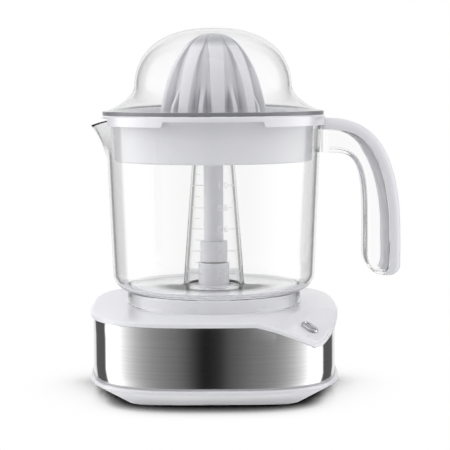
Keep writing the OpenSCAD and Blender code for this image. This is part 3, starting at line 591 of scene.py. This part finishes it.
# Shader group: fine lines brushed along a strip that runs round the object
brushed = bpy.data.node_groups.new("brushed_lines", "ShaderNodeTree")
for name in ("Lines per metre", "Line depth", "Roughness"):
    brushed.interface.new_socket(name, in_out="INPUT", socket_type="NodeSocketFloat")
brushed.interface.new_socket("Tone", in_out="OUTPUT", socket_type="NodeSocketFloat")
brushed.interface.new_socket("Roughness", in_out="OUTPUT", socket_type="NodeSocketFloat")
brushed.interface.new_socket("Normal", in_out="OUTPUT", socket_type="NodeSocketVector")
given = node(brushed, "GroupInput").outputs
place = node(brushed, "TexCoord").outputs["Object"]
long_grain = node(
    brushed, "VectorMath", {0: place, 1: (12, 12, 0)}, operation="MULTIPLY").outputs[0]
height = node(brushed, "SeparateXYZ", {0: place}).outputs["Z"]
fine_lines = maths(brushed, "MULTIPLY", height, given["Lines per metre"])
fine_lines = node(brushed, "CombineXYZ", {"Z": fine_lines}).outputs[0]
along = node(brushed, "VectorMath", {0: long_grain, 1: fine_lines}, operation="ADD").outputs[0]
lines = node(brushed, "TexNoise", {
    "Vector": along, "Scale": 1, "Detail": 4, "Roughness": 0.7,
}).outputs["Fac"]
uneven = remapped(brushed, lines, (0.3, 0.7), (-0.02, 0.02))
relief = node(brushed, "Bump", {
    "Height": lines, "Strength": 0.3, "Distance": given["Line depth"],
}).outputs["Normal"]
node(brushed, "GroupOutput", {
    "Tone": remapped(brushed, lines, (0.3, 0.7), (0.9, 1.05)),
    "Roughness": maths(brushed, "ADD", given["Roughness"], uneven),
    "Normal": relief,
})

brushed_steel, tree, output = material_named("brushed_steel")
strip = node(tree, "Group", {
    "Lines per metre": 1800, "Line depth": 0.00001, "Roughness": 0.11,
}, node_tree=brushed).outputs
steel = node(tree, "BsdfPrincipled", {
    "Base Color": scaled(tree, (0.60, 0.595, 0.60), strip["Tone"]),
    "Roughness": strip["Roughness"],
    "Normal": strip["Normal"],
    "Metallic": 1,
    "Anisotropic": 0.9,
    "Anisotropic Rotation": 0.25,
    "Tangent": node(tree, "Tangent", direction_type="RADIAL", axis="Z").outputs[0],
})
tree.links.new(steel.outputs[0], output.inputs["Surface"])

band_inset = cover_half_w - band_high[0]
band_top = band_high[2]
sheet = 0.8
lowest = base_ring(band_inset, ledge_z + 0.25)
highest = drooped_ring(band_inset, band_top - 0.25)
band = bmesh.new()
loft(band, [
    base_ring(band_inset + 0.15, ledge_z),
    *[between(lowest, highest, share) for share in (0, 0.25, 0.5, 0.75, 1)],
    drooped_ring(band_inset + 0.15, band_top),
    drooped_ring(band_inset + sheet, band_top),
    base_ring(band_inset + sheet, ledge_z),
], close=True)
band_cuts = bmesh.new()
add_rod(band_cuts, gland_hole_r, *gland_hole)
cut_out(band, band_cuts)
band_piece = shown("band_strip", band, brushed_steel, "base")
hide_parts("steel_band")


# ---- Top cover --------------------------------------------------------------
# The white plastic cover: a deck with a rounded lip and a tongue that droops
# over the band, and in the middle the plinth for the jug with the drive boss.

glossy_white = plastic(
    "glossy_white", (0.775, 0.775, 0.81), sheen=0.3, coat=1, coat_ior=1.65)
deck_z = box_mm("jug")[0][2] - 0.3
lip_height = 3.2
lip_wall = 1.55
lip_round = 1.5
shell = 2.2
plinth_r = 55.6
plinth_z = deck_z + 9.5
plinth_wall = 2.5
plinth_round = 1.2
boss_r = 10.5
boss_z = cover_top
boss_foot_round, boss_top_round = 1.5, 0.6
bore_r, bore_mouth_r, bore_mouth_depth = 8.5, 7.5, 1.6
slope_power = 1.8


def deck_ring(share, lower):
    """Ring of the deck, a share of the way from the plinth to the edge."""
    points = []
    for a in bearings:
        edge = superellipse(cover_half_w, cover_half_d, base_power, a)
        inner = plinth_r - plinth_round
        r = inner + share * (edge - 1.6 - inner)
        slope = max(0, (r - plinth_r) / (edge - plinth_r)) ** slope_power
        z = deck_z - lower - droop(a) * slope
        points.append(Vector((r * math.cos(a), r * math.sin(a), z)) * MM)
    return points


def lip_ring(inset, lower):
    """Ring of the lip, `lower` below the deck."""
    return drooped_ring(inset, deck_z - lower)


deck = bmesh.new()
deck_shares = [0.02 + 0.98 * i / 14 for i in range(15)]
loft(deck, [
    *[deck_ring(share, shell) for share in deck_shares],
    lip_ring(lip_wall, shell),
    lip_ring(lip_wall, lip_height - 0.15),
    lip_ring(lip_wall - 0.15, lip_height),
    lip_ring(0.35, lip_height),
    lip_ring(0.08, lip_height - 0.2),
    *[
        lip_ring(lip_round - lip_round * math.cos(math.radians(a)),
                 lip_round - lip_round * math.sin(math.radians(a)))
        for a in range(0, 90, 15)
    ],
    *[deck_ring(share, 0) for share in reversed(deck_shares)],
], close=True)
deck_piece = shown("cover_deck", deck, white_plastic, "base")


def spun(profile, steps=192, closed=True):
    """A profile in millimetres, turned round the drive axis."""
    bm = bmesh.new()
    corners = [bm.verts.new((r * MM, 0, z * MM)) for r, z in profile]
    following = corners[1:] + corners[:1] if closed else corners[1:]
    edges = [bm.edges.new(pair) for pair in zip(corners, following)]
    bmesh.ops.spin(
        bm, geom=corners + edges, cent=(0, 0, 0), axis=(0, 0, 1), dvec=(0, 0, 0),
        angle=math.tau, steps=steps, use_merge=True,
    )
    bmesh.ops.remove_doubles(bm, verts=bm.verts, dist=1e-6)
    return bm


plinth = spun([
    (bore_r, deck_z + plinth_wall), (boss_r, deck_z + plinth_wall),
    (boss_r, plinth_z - plinth_wall), (plinth_r - plinth_wall, plinth_z - plinth_wall),
    (plinth_r - plinth_wall, deck_z - shell),
    (plinth_r, deck_z - shell), (plinth_r, plinth_z - plinth_round),
    *arc((plinth_r - plinth_round, plinth_z - plinth_round), plinth_round, 0, 90),
    *arc((boss_r + boss_foot_round, plinth_z + boss_foot_round), boss_foot_round, 270, 180),
    *arc((boss_r - boss_top_round, boss_z - boss_top_round), boss_top_round, 0, 90, 4),
    (bore_mouth_r, boss_z), (bore_mouth_r, boss_z - bore_mouth_depth),
    (bore_r, boss_z - bore_mouth_depth),
])
plinth_piece = shown("cover_plinth", plinth, glossy_white, "base")
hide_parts("top_cover")
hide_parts("top_cover")


# ---- Indicator lamp ---------------------------------------------------------
# A small oval window on the tongue: a polished metal bezel pressed into the
# cover, with a smoky plastic lens over a pale lamp.

lamp_az = tongue_az + math.radians(3)
lamp_edge = superellipse(cover_half_w, cover_half_d, base_power, lamp_az)
lamp_r = lamp_edge - 11.88
bezel_straight, bezel_r = 2.3, 3.9


def tongue_height(r):
    """Height of the deck over the tongue's middle, `r` from the axis."""
    return deck_z - droop(lamp_az) * ((r - plinth_r) / (lamp_edge - plinth_r)) ** slope_power


seat_half = 3
seat_fall = tongue_height(lamp_r - seat_half) - tongue_height(lamp_r + seat_half)
lamp_place = lamp_r * math.cos(lamp_az), lamp_r * math.sin(lamp_az), tongue_height(lamp_r)
lamp_seat = (
    Matrix.Translation(lamp_place)
    @ Matrix.Rotation(lamp_az, 4, "Z")
    @ Matrix.Rotation(math.atan2(seat_fall, 2 * seat_half), 4, "Y")
)


def oval_ring(inset, z):
    """Ring with round ends, `inset` inside the bezel's rim."""
    r = bezel_r - inset
    around = [math.radians(a) for a in range(-90, 91, 10)]
    right = [(bezel_straight + r * math.cos(a), r * math.sin(a)) for a in around]
    ring = right + [(-x, -y) for x, y in right]
    return [lamp_seat @ Vector((x, y, z)) * MM for x, y in ring]


bezel = bmesh.new()
loft(bezel, [
    oval_ring(1.15, 0.1), oval_ring(0, 0.1), oval_ring(0, 0.5), oval_ring(0.12, 0.9),
    oval_ring(0.4, 1.22), oval_ring(0.8, 1.38), oval_ring(1.2, 1.34), oval_ring(1.6, 1.08),
    oval_ring(1.88, 0.6), oval_ring(1.96, 0), oval_ring(2, -3.4), oval_ring(1.15, -3.4),
], close=True)
polished_metal = metal("polished_metal", (0.55, 0.55, 0.57), 0.06, 0)
bezel_piece = shown("lamp_bezel", bezel, polished_metal, "base", 50)
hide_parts("indicator_bezel")


def clear(name, tint, edge_shade, roughness=0.02, ior=1.5):
    """Clear plastic: it bends light, has painted shade that darkens its colour
    towards its edges as they turn from view, and lets soft light pass to what stands behind
    it."""
    made, tree, output = material_named(name)
    # Painted shade: the colour turns to the darker edge colour as the surface turns from view
    facing = node(tree, "LayerWeight", {"Blend": 0.35}).outputs["Facing"]
    to_edge = maths(tree, "POWER", facing, 3)
    body = node(tree, "BsdfPrincipled", {
        "Base Color": mixed(tree, to_edge, (*tint, 1), (*edge_shade, 1)),
        "Roughness": roughness,
        "IOR": ior,
        "Transmission Weight": 1,
    })
    ray = node(tree, "LightPath").outputs
    soft_light = maths(tree, "MAXIMUM", ray["Is Shadow Ray"], ray["Is Diffuse Ray"])
    passed = node(tree, "BsdfTransparent", {"Color": (0.99, 0.99, 0.99, 1)})
    either = node(tree, "MixShader", {0: soft_light, 1: body.outputs[0], 2: passed.outputs[0]})
    tree.links.new(either.outputs[0], output.inputs["Surface"])
    return made


lens = bmesh.new()
loft(lens, [
    oval_ring(2.1, -2.4), oval_ring(2.1, 0.1), oval_ring(2.2, 0.45), oval_ring(2.5, 0.8),
    oval_ring(2.9, 1), oval_ring(3.4, 1.1),
])
lens_plastic = clear("lens_plastic", (0.25, 0.25, 0.27), (0.05, 0.05, 0.05))
lens_piece = shown("lamp_lens", lens, lens_plastic, "base", 50)
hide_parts("indicator_lens")
dress(plastic("lamp_plastic", (0.55, 0.5, 0.4)), "indicator_lamp")


# ---- Drive inside the base --------------------------------------------------
# Under the cover, a plate carries the moulded gears, the motor with its steel
# core and copper coils, and the switch; its screws hold it to posts of the cover.

dress(plastic("grey_plastic", (0.33, 0.34, 0.35), sheen=0.5), "gearbox_plate")
dress(plastic("gear_plastic", (0.75, 0.73, 0.66), sheen=0.45),
      "idler_gear", "output_gear", "rotor_pinion")
dress(plastic("black_plastic", (0.02, 0.02, 0.02), sheen=0.4), "micro_switch")
dress(plastic("red_plastic", (0.45, 0.03, 0.02)), "switch_button")
dress(metal("bearing_bronze", (0.45, 0.29, 0.13), 0.4, 0.00003), "spindle_bush")
dress(metal("core_steel", (0.22, 0.23, 0.26), 0.45, 0.00003), "stator_core")
dress(plastic("ferrite", (0.05, 0.05, 0.055), sheen=0.55), "rotor_magnet")
dress(plastic("coil_winding", (0.45, 0.14, 0.05), sheen=0.3, grain_per_metre=900),
      "stator_coils")

# The wire of the return spring, carried with the push rod
spring_low, spring_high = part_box("return_spring")
spring_length = spring_high[2] - spring_low[2]
wire_r = 0.4 * MM
coil_r = spring_high[0] - wire_r
turns = 6
coil_steps = turns * 24
climb = (spring_length - 2 * wire_r) / coil_steps
coil = bmesh.new()
wire_start = Matrix.Translation((coil_r, 0, spring_low[2] + wire_r))
section = bmesh.ops.create_circle(
    coil, segments=8, radius=wire_r, matrix=wire_start @ Matrix.Rotation(math.pi / 2, 4, "X"))
bmesh.ops.spin(
    coil, geom=section["verts"] + coil.edges[:], cent=(0, 0, 0), axis=(0, 0, 1),
    dvec=(0, 0, climb), angle=turns * math.tau, steps=coil_steps,
)
bmesh.ops.holes_fill(coil, edges=coil.edges, sides=8)
spring_piece = shown("spring_wire", coil, bright_steel, "push_rod")
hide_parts("return_spring")
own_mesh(spring_piece)


# ---- Jug --------------------------------------------------------------------
# One clear plastic moulding: a tapering wall pulled out to a spout, a floor with
# a foot skirt that stands round the plinth, and a central tube over the boss.

clear_plastic = clear("clear_plastic", (0.994, 0.996, 0.993), (0.62, 0.62, 0.64))
thin_clear = clear("thin_clear", (1, 1, 1), (0.5, 0.5, 0.53), ior=1.3)

jug_low, jug_high = box_mm("jug")
rim_r, rim_z = jug_high[1], jug_high[2]
skirt_z = jug_low[2]
spout_tip = -jug_low[0]
wall = 2.5
skirt_r = 58.4
corner_r, corner_z, corner_round = 56.0, 82.5, 12.0
floor_z = plinth_z + 0.3
floor_top = floor_z + wall
tube_foot, tube_top = 20.3, 14.4
tube_wall = 2.3
tube_top_z = rim_z - 30.6
rim_round = 0.9

wall_foot_r = corner_r + corner_round
wall_steps = 28
outer_wall = [
    (wall_foot_r + (rim_r - wall_foot_r) * i / wall_steps,
     corner_z + (rim_z - rim_round - corner_z) * i / wall_steps)
    for i in range(wall_steps + 1)
]
jug_profile = [
    (skirt_r, skirt_z + 0.4), (skirt_r, floor_z - 1),
    *arc((corner_r, corner_z), corner_round, -75, -4, 9),
    *outer_wall,
    *arc((rim_r - rim_round, rim_z - rim_round), rim_round, 15, 75, 3),
    *arc((rim_r - wall + rim_round, rim_z - rim_round), rim_round, 105, 165, 3),
    *[(r - wall, z) for r, z in reversed(outer_wall)],
    *arc((corner_r, corner_z), corner_round - wall, -4, -72, 8),
    (corner_r - 2, floor_top),
    *arc((tube_foot + 1.7, floor_top + 1.5), 1.5, 270, 180, 4),
    (tube_top, tube_top_z - 0.4), (tube_top - 0.4, tube_top_z),
    (tube_top - tube_wall + 0.3, tube_top_z), (tube_top - tube_wall, tube_top_z - 0.4),
    (tube_foot - tube_wall, floor_top + 1.5), (tube_foot - tube_wall, floor_z + 0.3),
    (tube_foot - tube_wall + 0.3, floor_z),
    (skirt_r - wall - 0.3, floor_z), (skirt_r - wall, floor_z - 0.3),
    (skirt_r - wall, skirt_z + 0.3), (skirt_r - wall + 0.3, skirt_z), (skirt_r - 0.4, skirt_z),
]
jug = spun(jug_profile, 240)

# The wall is pulled out to a spout: flat cheeks meet at the tip and fair into
# the wall below, and the rim dips a little towards the tip
spout_low_z = 155
spout_tip_z = 180.5
spout_reach = spout_tip - rim_r
spout_power = 1.35
tip_round = 0.035
rim_dip = rim_z - spout_tip_z


def spout_pull(bearing_off, z):
    """How far the wall is pulled out at a bearing from the spout, in mm."""
    rise = min(1.06, max(0, (z - spout_low_z) / (rim_z - spout_low_z)))
    tip = spout_reach * rise ** spout_power
    if tip < 0.01:
        return 0
    tangent = math.acos(rim_r / (rim_r + tip))
    off = math.hypot(bearing_off, tip_round)
    if off >= tangent:
        return 0
    return rim_r / math.cos(tangent - off) - rim_r


for vert in jug.verts:
    r = math.hypot(vert.co.x, vert.co.y) / MM
    z = vert.co.z / MM
    if z < spout_low_z or r < corner_r:
        continue
    off = math.pi - abs(math.atan2(vert.co.y, vert.co.x))
    pull = spout_pull(off, z)
    vert.co.x *= 1 + pull / r
    vert.co.y *= 1 + pull / r
    rise = (z - spout_low_z) / (rim_z - spout_low_z)
    vert.co.z -= rim_dip * MM * (pull / spout_reach) * rise ** 3
# The floor and the tube are thinner to look through than the wall
for face in jug.faces:
    middle = face.calc_center_median() / MM
    if math.hypot(middle.x, middle.y) < corner_r - 3 and middle.z > floor_z - 1:
        face.material_index = 1
jug_piece = shown("jug_body", jug, clear_plastic, "jug")
jug_piece.data.materials.append(thin_clear)
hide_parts("jug")

# Volume marks in litres, raised a hair and frosted, on the front of the wall.
# They are made flat, in millimetres, and then laid on it.
numeral_heights = {"1.0": 145.2, "0.8": 131.0, "0.6": 117.6, "0.4": 103.6, "0.2": 89.2}
half_heights = (152, 138.1, 124.3, 110.6, 96.4)
mark_stand = 0.1
marks = bmesh.new()


def add_tick(low, high, z, line):
    """Adds a tick from low to high across the wall, at height z."""
    place = Matrix.Translation(((low + high) / 2, z, 0))
    size = Matrix.Diagonal((high - low, line, 2 * mark_stand, 1))
    bmesh.ops.create_cube(marks, size=1, matrix=place @ size)


for litres, z in numeral_heights.items():
    words = bpy.data.curves.new("numeral", "FONT")
    words.body = litres
    words.size = 5.6
    words.extrude = mark_stand
    words.resolution_u = 3
    words_object = bpy.data.objects.new("numeral", words)
    numeral = bpy.data.meshes.new_from_object(words_object)
    numeral.transform(Matrix.Translation((2.2, z - 2, 0)))
    marks.from_mesh(numeral)
    bpy.data.objects.remove(words_object)
    bpy.data.curves.remove(words)
    bpy.data.meshes.remove(numeral)
    add_tick(-13.5, -6.5, z, 0.55)
    add_tick(9.5, 13.5, z, 0.55)
for z in half_heights:
    add_tick(-11.75, -8.25, z, 0.45)
wall_tilt = (rim_r - wall_foot_r) / (rim_z - rim_round - corner_z)
for vert in marks.verts:
    x, z, stand = vert.co
    r = wall_foot_r + wall_tilt * (z - corner_z) + stand + 0.02
    vert.co = Vector((x, -math.sqrt(r * r - x * x), z)) * MM
frosted = clear("frosted_marks", (0.97, 0.97, 0.97), (0.7, 0.7, 0.72), roughness=0.35)
marks_piece = shown("volume_marks", marks, frosted, "jug")
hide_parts("jug")


# ---- Handle -----------------------------------------------------------------
# A hollow grip of clear plastic, bonded to the jug at its root and free below,
# with a white spine set in along its outer side.

soft_clear = clear("soft_clear", (0.985, 0.985, 0.985), (0.4, 0.4, 0.42), ior=1.22)

handle_low, handle_high = box_mm("handle")
spine_high = box_mm("handle_spine")[1]
root_x = handle_low[0]
grip_reach = spine_high[0]
grip_low = handle_low[2]
root_top = spine_high[2]
root_low = rim_z - 23
bend_z = grip_low + 18.7
inner_x = grip_reach - 25
outer_power, inner_power = 2.7, 4.3
outer_curl_x, outer_curl_z = 6.3, 6.7
inner_curl_x, inner_curl_z = 13, 14.7
grip_half = handle_high[1]
grip_wall = 3
spine_thick = 7.6
bend_station, end_station = 9, 13


def quarter(a, b, power, degrees):
    """Point of a superellipse's first quarter."""
    t = math.radians(degrees)
    return a * max(0, math.cos(t)) ** (2 / power), b * max(0, math.sin(t)) ** (2 / power)


def grip_edges(i):
    """Inner and outer edge of the grip at a station, from the root at 0."""
    if i <= bend_station:
        degrees = 90 - i * 10
        ox, oz = quarter(grip_reach - root_x, root_top - bend_z, outer_power, degrees)
        ix, iz = quarter(inner_x - root_x, root_low - bend_z, inner_power, degrees)
        return Vector((root_x + ix, 0, bend_z + iz)), Vector((root_x + ox, 0, bend_z + oz))
    t = math.radians((i - bend_station) * 22.5)
    inner = (
        inner_x + inner_curl_x * (1 - math.cos(t)), 0,
        grip_low + inner_curl_z * (1 - math.sin(t)))
    outer = (
        grip_reach - outer_curl_x * (1 - math.cos(t)), 0,
        grip_low + outer_curl_z * (1 - math.sin(t)))
    return Vector(inner), Vector(outer)


def grip_section(i, start, end, half, round_start, round_end):
    """Ring round the grip at a station, from `start` to `end` mm off its inner
    edge, each worked out from the section's depth and its spine's."""
    inner, outer = grip_edges(i)
    depth = (outer - inner).length
    spine = min(spine_thick, depth * 0.5)
    across = (outer - inner) / depth
    a, b = start(depth, spine), end(depth, spine)
    near = min(round_start, (b - a) * 0.7)
    far = min(round_end, (b - a) * 0.7)
    side = [
        *arc((a + near, half - near), near, 180, 90, 8),
        *arc((b - far, half - far), far, 90, 0, 8),
    ]
    ring = side + [(p, -w) for p, w in reversed(side)]
    return [(inner + across * p + Vector((0, w, 0))) * MM for p, w in ring]


def stations(first, last, count):
    """Places along the grip, evenly from first to last."""
    return [first + (last - first) * i / (count - 1) for i in range(count)]


grip = bmesh.new()
loft(grip, [
    grip_section(i, lambda d, s: 0, lambda d, s: d - s, grip_half, 6, 0.3)
    for i in stations(0, end_station, 66)
])
hollow = bmesh.new()
loft(hollow, [
    grip_section(
        i, lambda d, s: grip_wall, lambda d, s: d - s - 0.3, grip_half - grip_wall, 2, 0.5)
    for i in stations(0.12, 11.4, 60)
])
bmesh.ops.recalc_face_normals(grip, faces=grip.faces)
bmesh.ops.recalc_face_normals(hollow, faces=hollow.faces)
bmesh.ops.reverse_faces(hollow, faces=hollow.faces)
hollow_mesh = bpy.data.meshes.new("hollow")
hollow.to_mesh(hollow_mesh)
hollow.free()
grip.from_mesh(hollow_mesh)
bpy.data.meshes.remove(hollow_mesh)
grip_piece = shown("grip_clear", grip, soft_clear, "jug", turn_outward=False)
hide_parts("handle")

spine = bmesh.new()
loft(spine, [
    grip_section(i, lambda d, s: d - s + 0.1, lambda d, s: d, grip_half, 0.3, 5)
    for i in stations(0, end_station, 66)
])
spine_piece = shown("grip_spine", spine, white_plastic, "jug")
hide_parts("handle_spine")

# A rib of the spine stands in the hollow and shows through the grip; its white plastic is
# painted grey, as painted shade in the hollow
rib_painted_shade = plastic("rib_painted_shade", (0.62, 0.62, 0.65), sheen=0.4)
rib = bmesh.new()
loft(rib, [
    grip_section(
        i, lambda d, s: d - s - 0.8 - 3.9 * min(1, (i - 1) / 3), lambda d, s: d - s - 0.4,
        grip_half - 3.3, 1, 0.2)
    for i in stations(1, 10.8, 46)
])
rib_piece = shown("grip_rib", rib, rib_painted_shade, "jug")
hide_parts("handle_spine")


# ---- Strainer ---------------------------------------------------------------
# A basket of glossy white plastic with a slotted floor, moulded in one and hung
# in the jug by a flange whose skirt hooks over the rim.

dress(glossy_white, "strainer")


# ---- Coupling and shaft -----------------------------------------------------
# White plastic drive parts. The shaft stands in the jug's central tube and turns
# the reamer, and the coupling at its foot takes the motor's drive.

dress(white_plastic, "drive_coupling", "drive_shaft")


# ---- Reamer -----------------------------------------------------------------
# A fluted cone of white plastic: nine tall ribs of even width run up to a smooth
# cap, with a short rib in each flute between them. It sits on the shaft.

reamer_low, reamer_high = box_mm("reamer")
reamer_z = reamer_low[2]
reamer_h = reamer_high[2] - reamer_z
reamer_r = 37
rib_count = 9
rib_w = 8
first_rib = math.radians(6 - 90)
short_rib_top, short_rib_fade = 0.56, 0.2


def half_rib(r, rise):
    """Half a rib and flute: ways round from the crest's middle, with depths, at
    a radius and a share of the height."""
    half = math.pi * r / rib_count
    crest = min(rib_w / 2 * (0.85 + 0.45 * rise), 0.8 * half)
    flute = half - crest
    deep = min(0.2 * r, 0.8 * flute)
    short = 0.7 * deep * min(1, max(0, (short_rib_top - rise) / short_rib_fade))
    return [
        (0, 0), (0.5 * crest, 0), (0.94 * crest, 0.01 * deep),
        (crest + 0.03 * flute, 0.12 * deep), (crest + 0.19 * flute, 0.78 * deep),
        (crest + 0.25 * flute, 0.9 * deep), (half - 0.56 * flute, 0.97 * deep),
        (half - 0.44 * flute, deep), (half - 0.4 * flute, deep - 0.1 * short),
        (half - 0.24 * flute, deep - 0.85 * short), (half - 0.18 * flute, deep - 0.96 * short),
        (half - 0.08 * flute, deep - short), (half, deep - short),
    ]


def reamer_ring(degrees):
    """Ring of all the ribs and flutes, from the foot at 0 to the tip at 90."""
    r, z = quarter(reamer_r, reamer_h, 2.15, degrees)
    side = half_rib(r, z / reamer_h)
    pitch = math.tau * r / rib_count
    whole = side + [(pitch - way, deep) for way, deep in side[-2:0:-1]]
    points = []
    for k in range(rib_count):
        for way, deep in whole:
            a = first_rib + (k * pitch + way) / r
            points.append(Vector((
                (r - deep) * math.cos(a), (r - deep) * math.sin(a), reamer_z + z)) * MM)
    return points


# Painted shade darkens the flutes towards a grey deep in them
reamer_plastic = plastic(
    "reamer_plastic", (0.78, 0.78, 0.815), sheen=0.28, coat=0.3, groove_shade_colour=(0.42, 0.42, 0.46))
cone = bmesh.new()
loft(cone, [reamer_ring(d) for d in [0, 3, 6, *range(8, 86, 2), 86, 87.5, 89, 89.7]])
cone_piece = shown("reamer_cone", cone, reamer_plastic, "reamer", 30)
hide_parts("reamer")


# ---- Dust cover -------------------------------------------------------------
# A dome of thin clear plastic, moulded in one with a coved flange that rests on
# the strainer. It lifts off.

dome_high = box_mm("dust_cover")[1]
flange_r = dome_high[0] + 0.8
dome_z = box_mm("strainer")[1][2] + 0.3
dome_top = dome_high[2]
dome_r = 52.8
dome_wall = 2.0
cove_h = 15.5
crown_power, cove_power = 2.4, 1.5
cove_top = dome_z + 2.5 + cove_h
belt_z = cove_top - 3
cove_w = flange_r - dome_r - 0.1


def dome_skin(inset):
    """Profile of the dome and its cove, from the top down, `inset` inside."""
    crown_r, crown_h = dome_r - inset, dome_top - belt_z - inset
    crown_degrees = [89.5, 88, 86, *range(84, 2, -3)]
    crown = [quarter(crown_r, crown_h, crown_power, d) for d in crown_degrees]
    cove = [quarter(cove_w + inset, cove_h + inset, cove_power, d) for d in range(2, 90, 4)]
    crown = [(r, belt_z + z) for r, z in crown]
    return crown + [(flange_r - r, cove_top - z) for r, z in cove]


outside = dome_skin(0)
inside = [p for p in dome_skin(dome_wall) if p[1] > dome_z + 0.05]
dome = spun([
    (0, dome_top), *outside, (flange_r - 0.2, dome_z + 2.4), (flange_r, dome_z + 2.1),
    (flange_r, dome_z + 0.3), (flange_r - 0.3, dome_z), (flange_r - 3, dome_z),
    *reversed(inside), (0, dome_top - dome_wall),
], closed=False)
# The flange's thick cut edge is painted opaque grey, a painted shade for the dark line that
# clear plastic shows there
flange_edge_shade = plastic("flange_edge_shade", (0.2, 0.2, 0.215), sheen=0.3)
for face in dome.faces:
    middle = face.calc_center_median() / MM
    if math.hypot(middle.x, middle.y) > flange_r - 0.25:
        face.material_index = 1
dome_piece = shown("dome_shell", dome, soft_clear, "dust_cover")
dome_piece.data.materials.append(flange_edge_shade)
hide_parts("dust_cover")
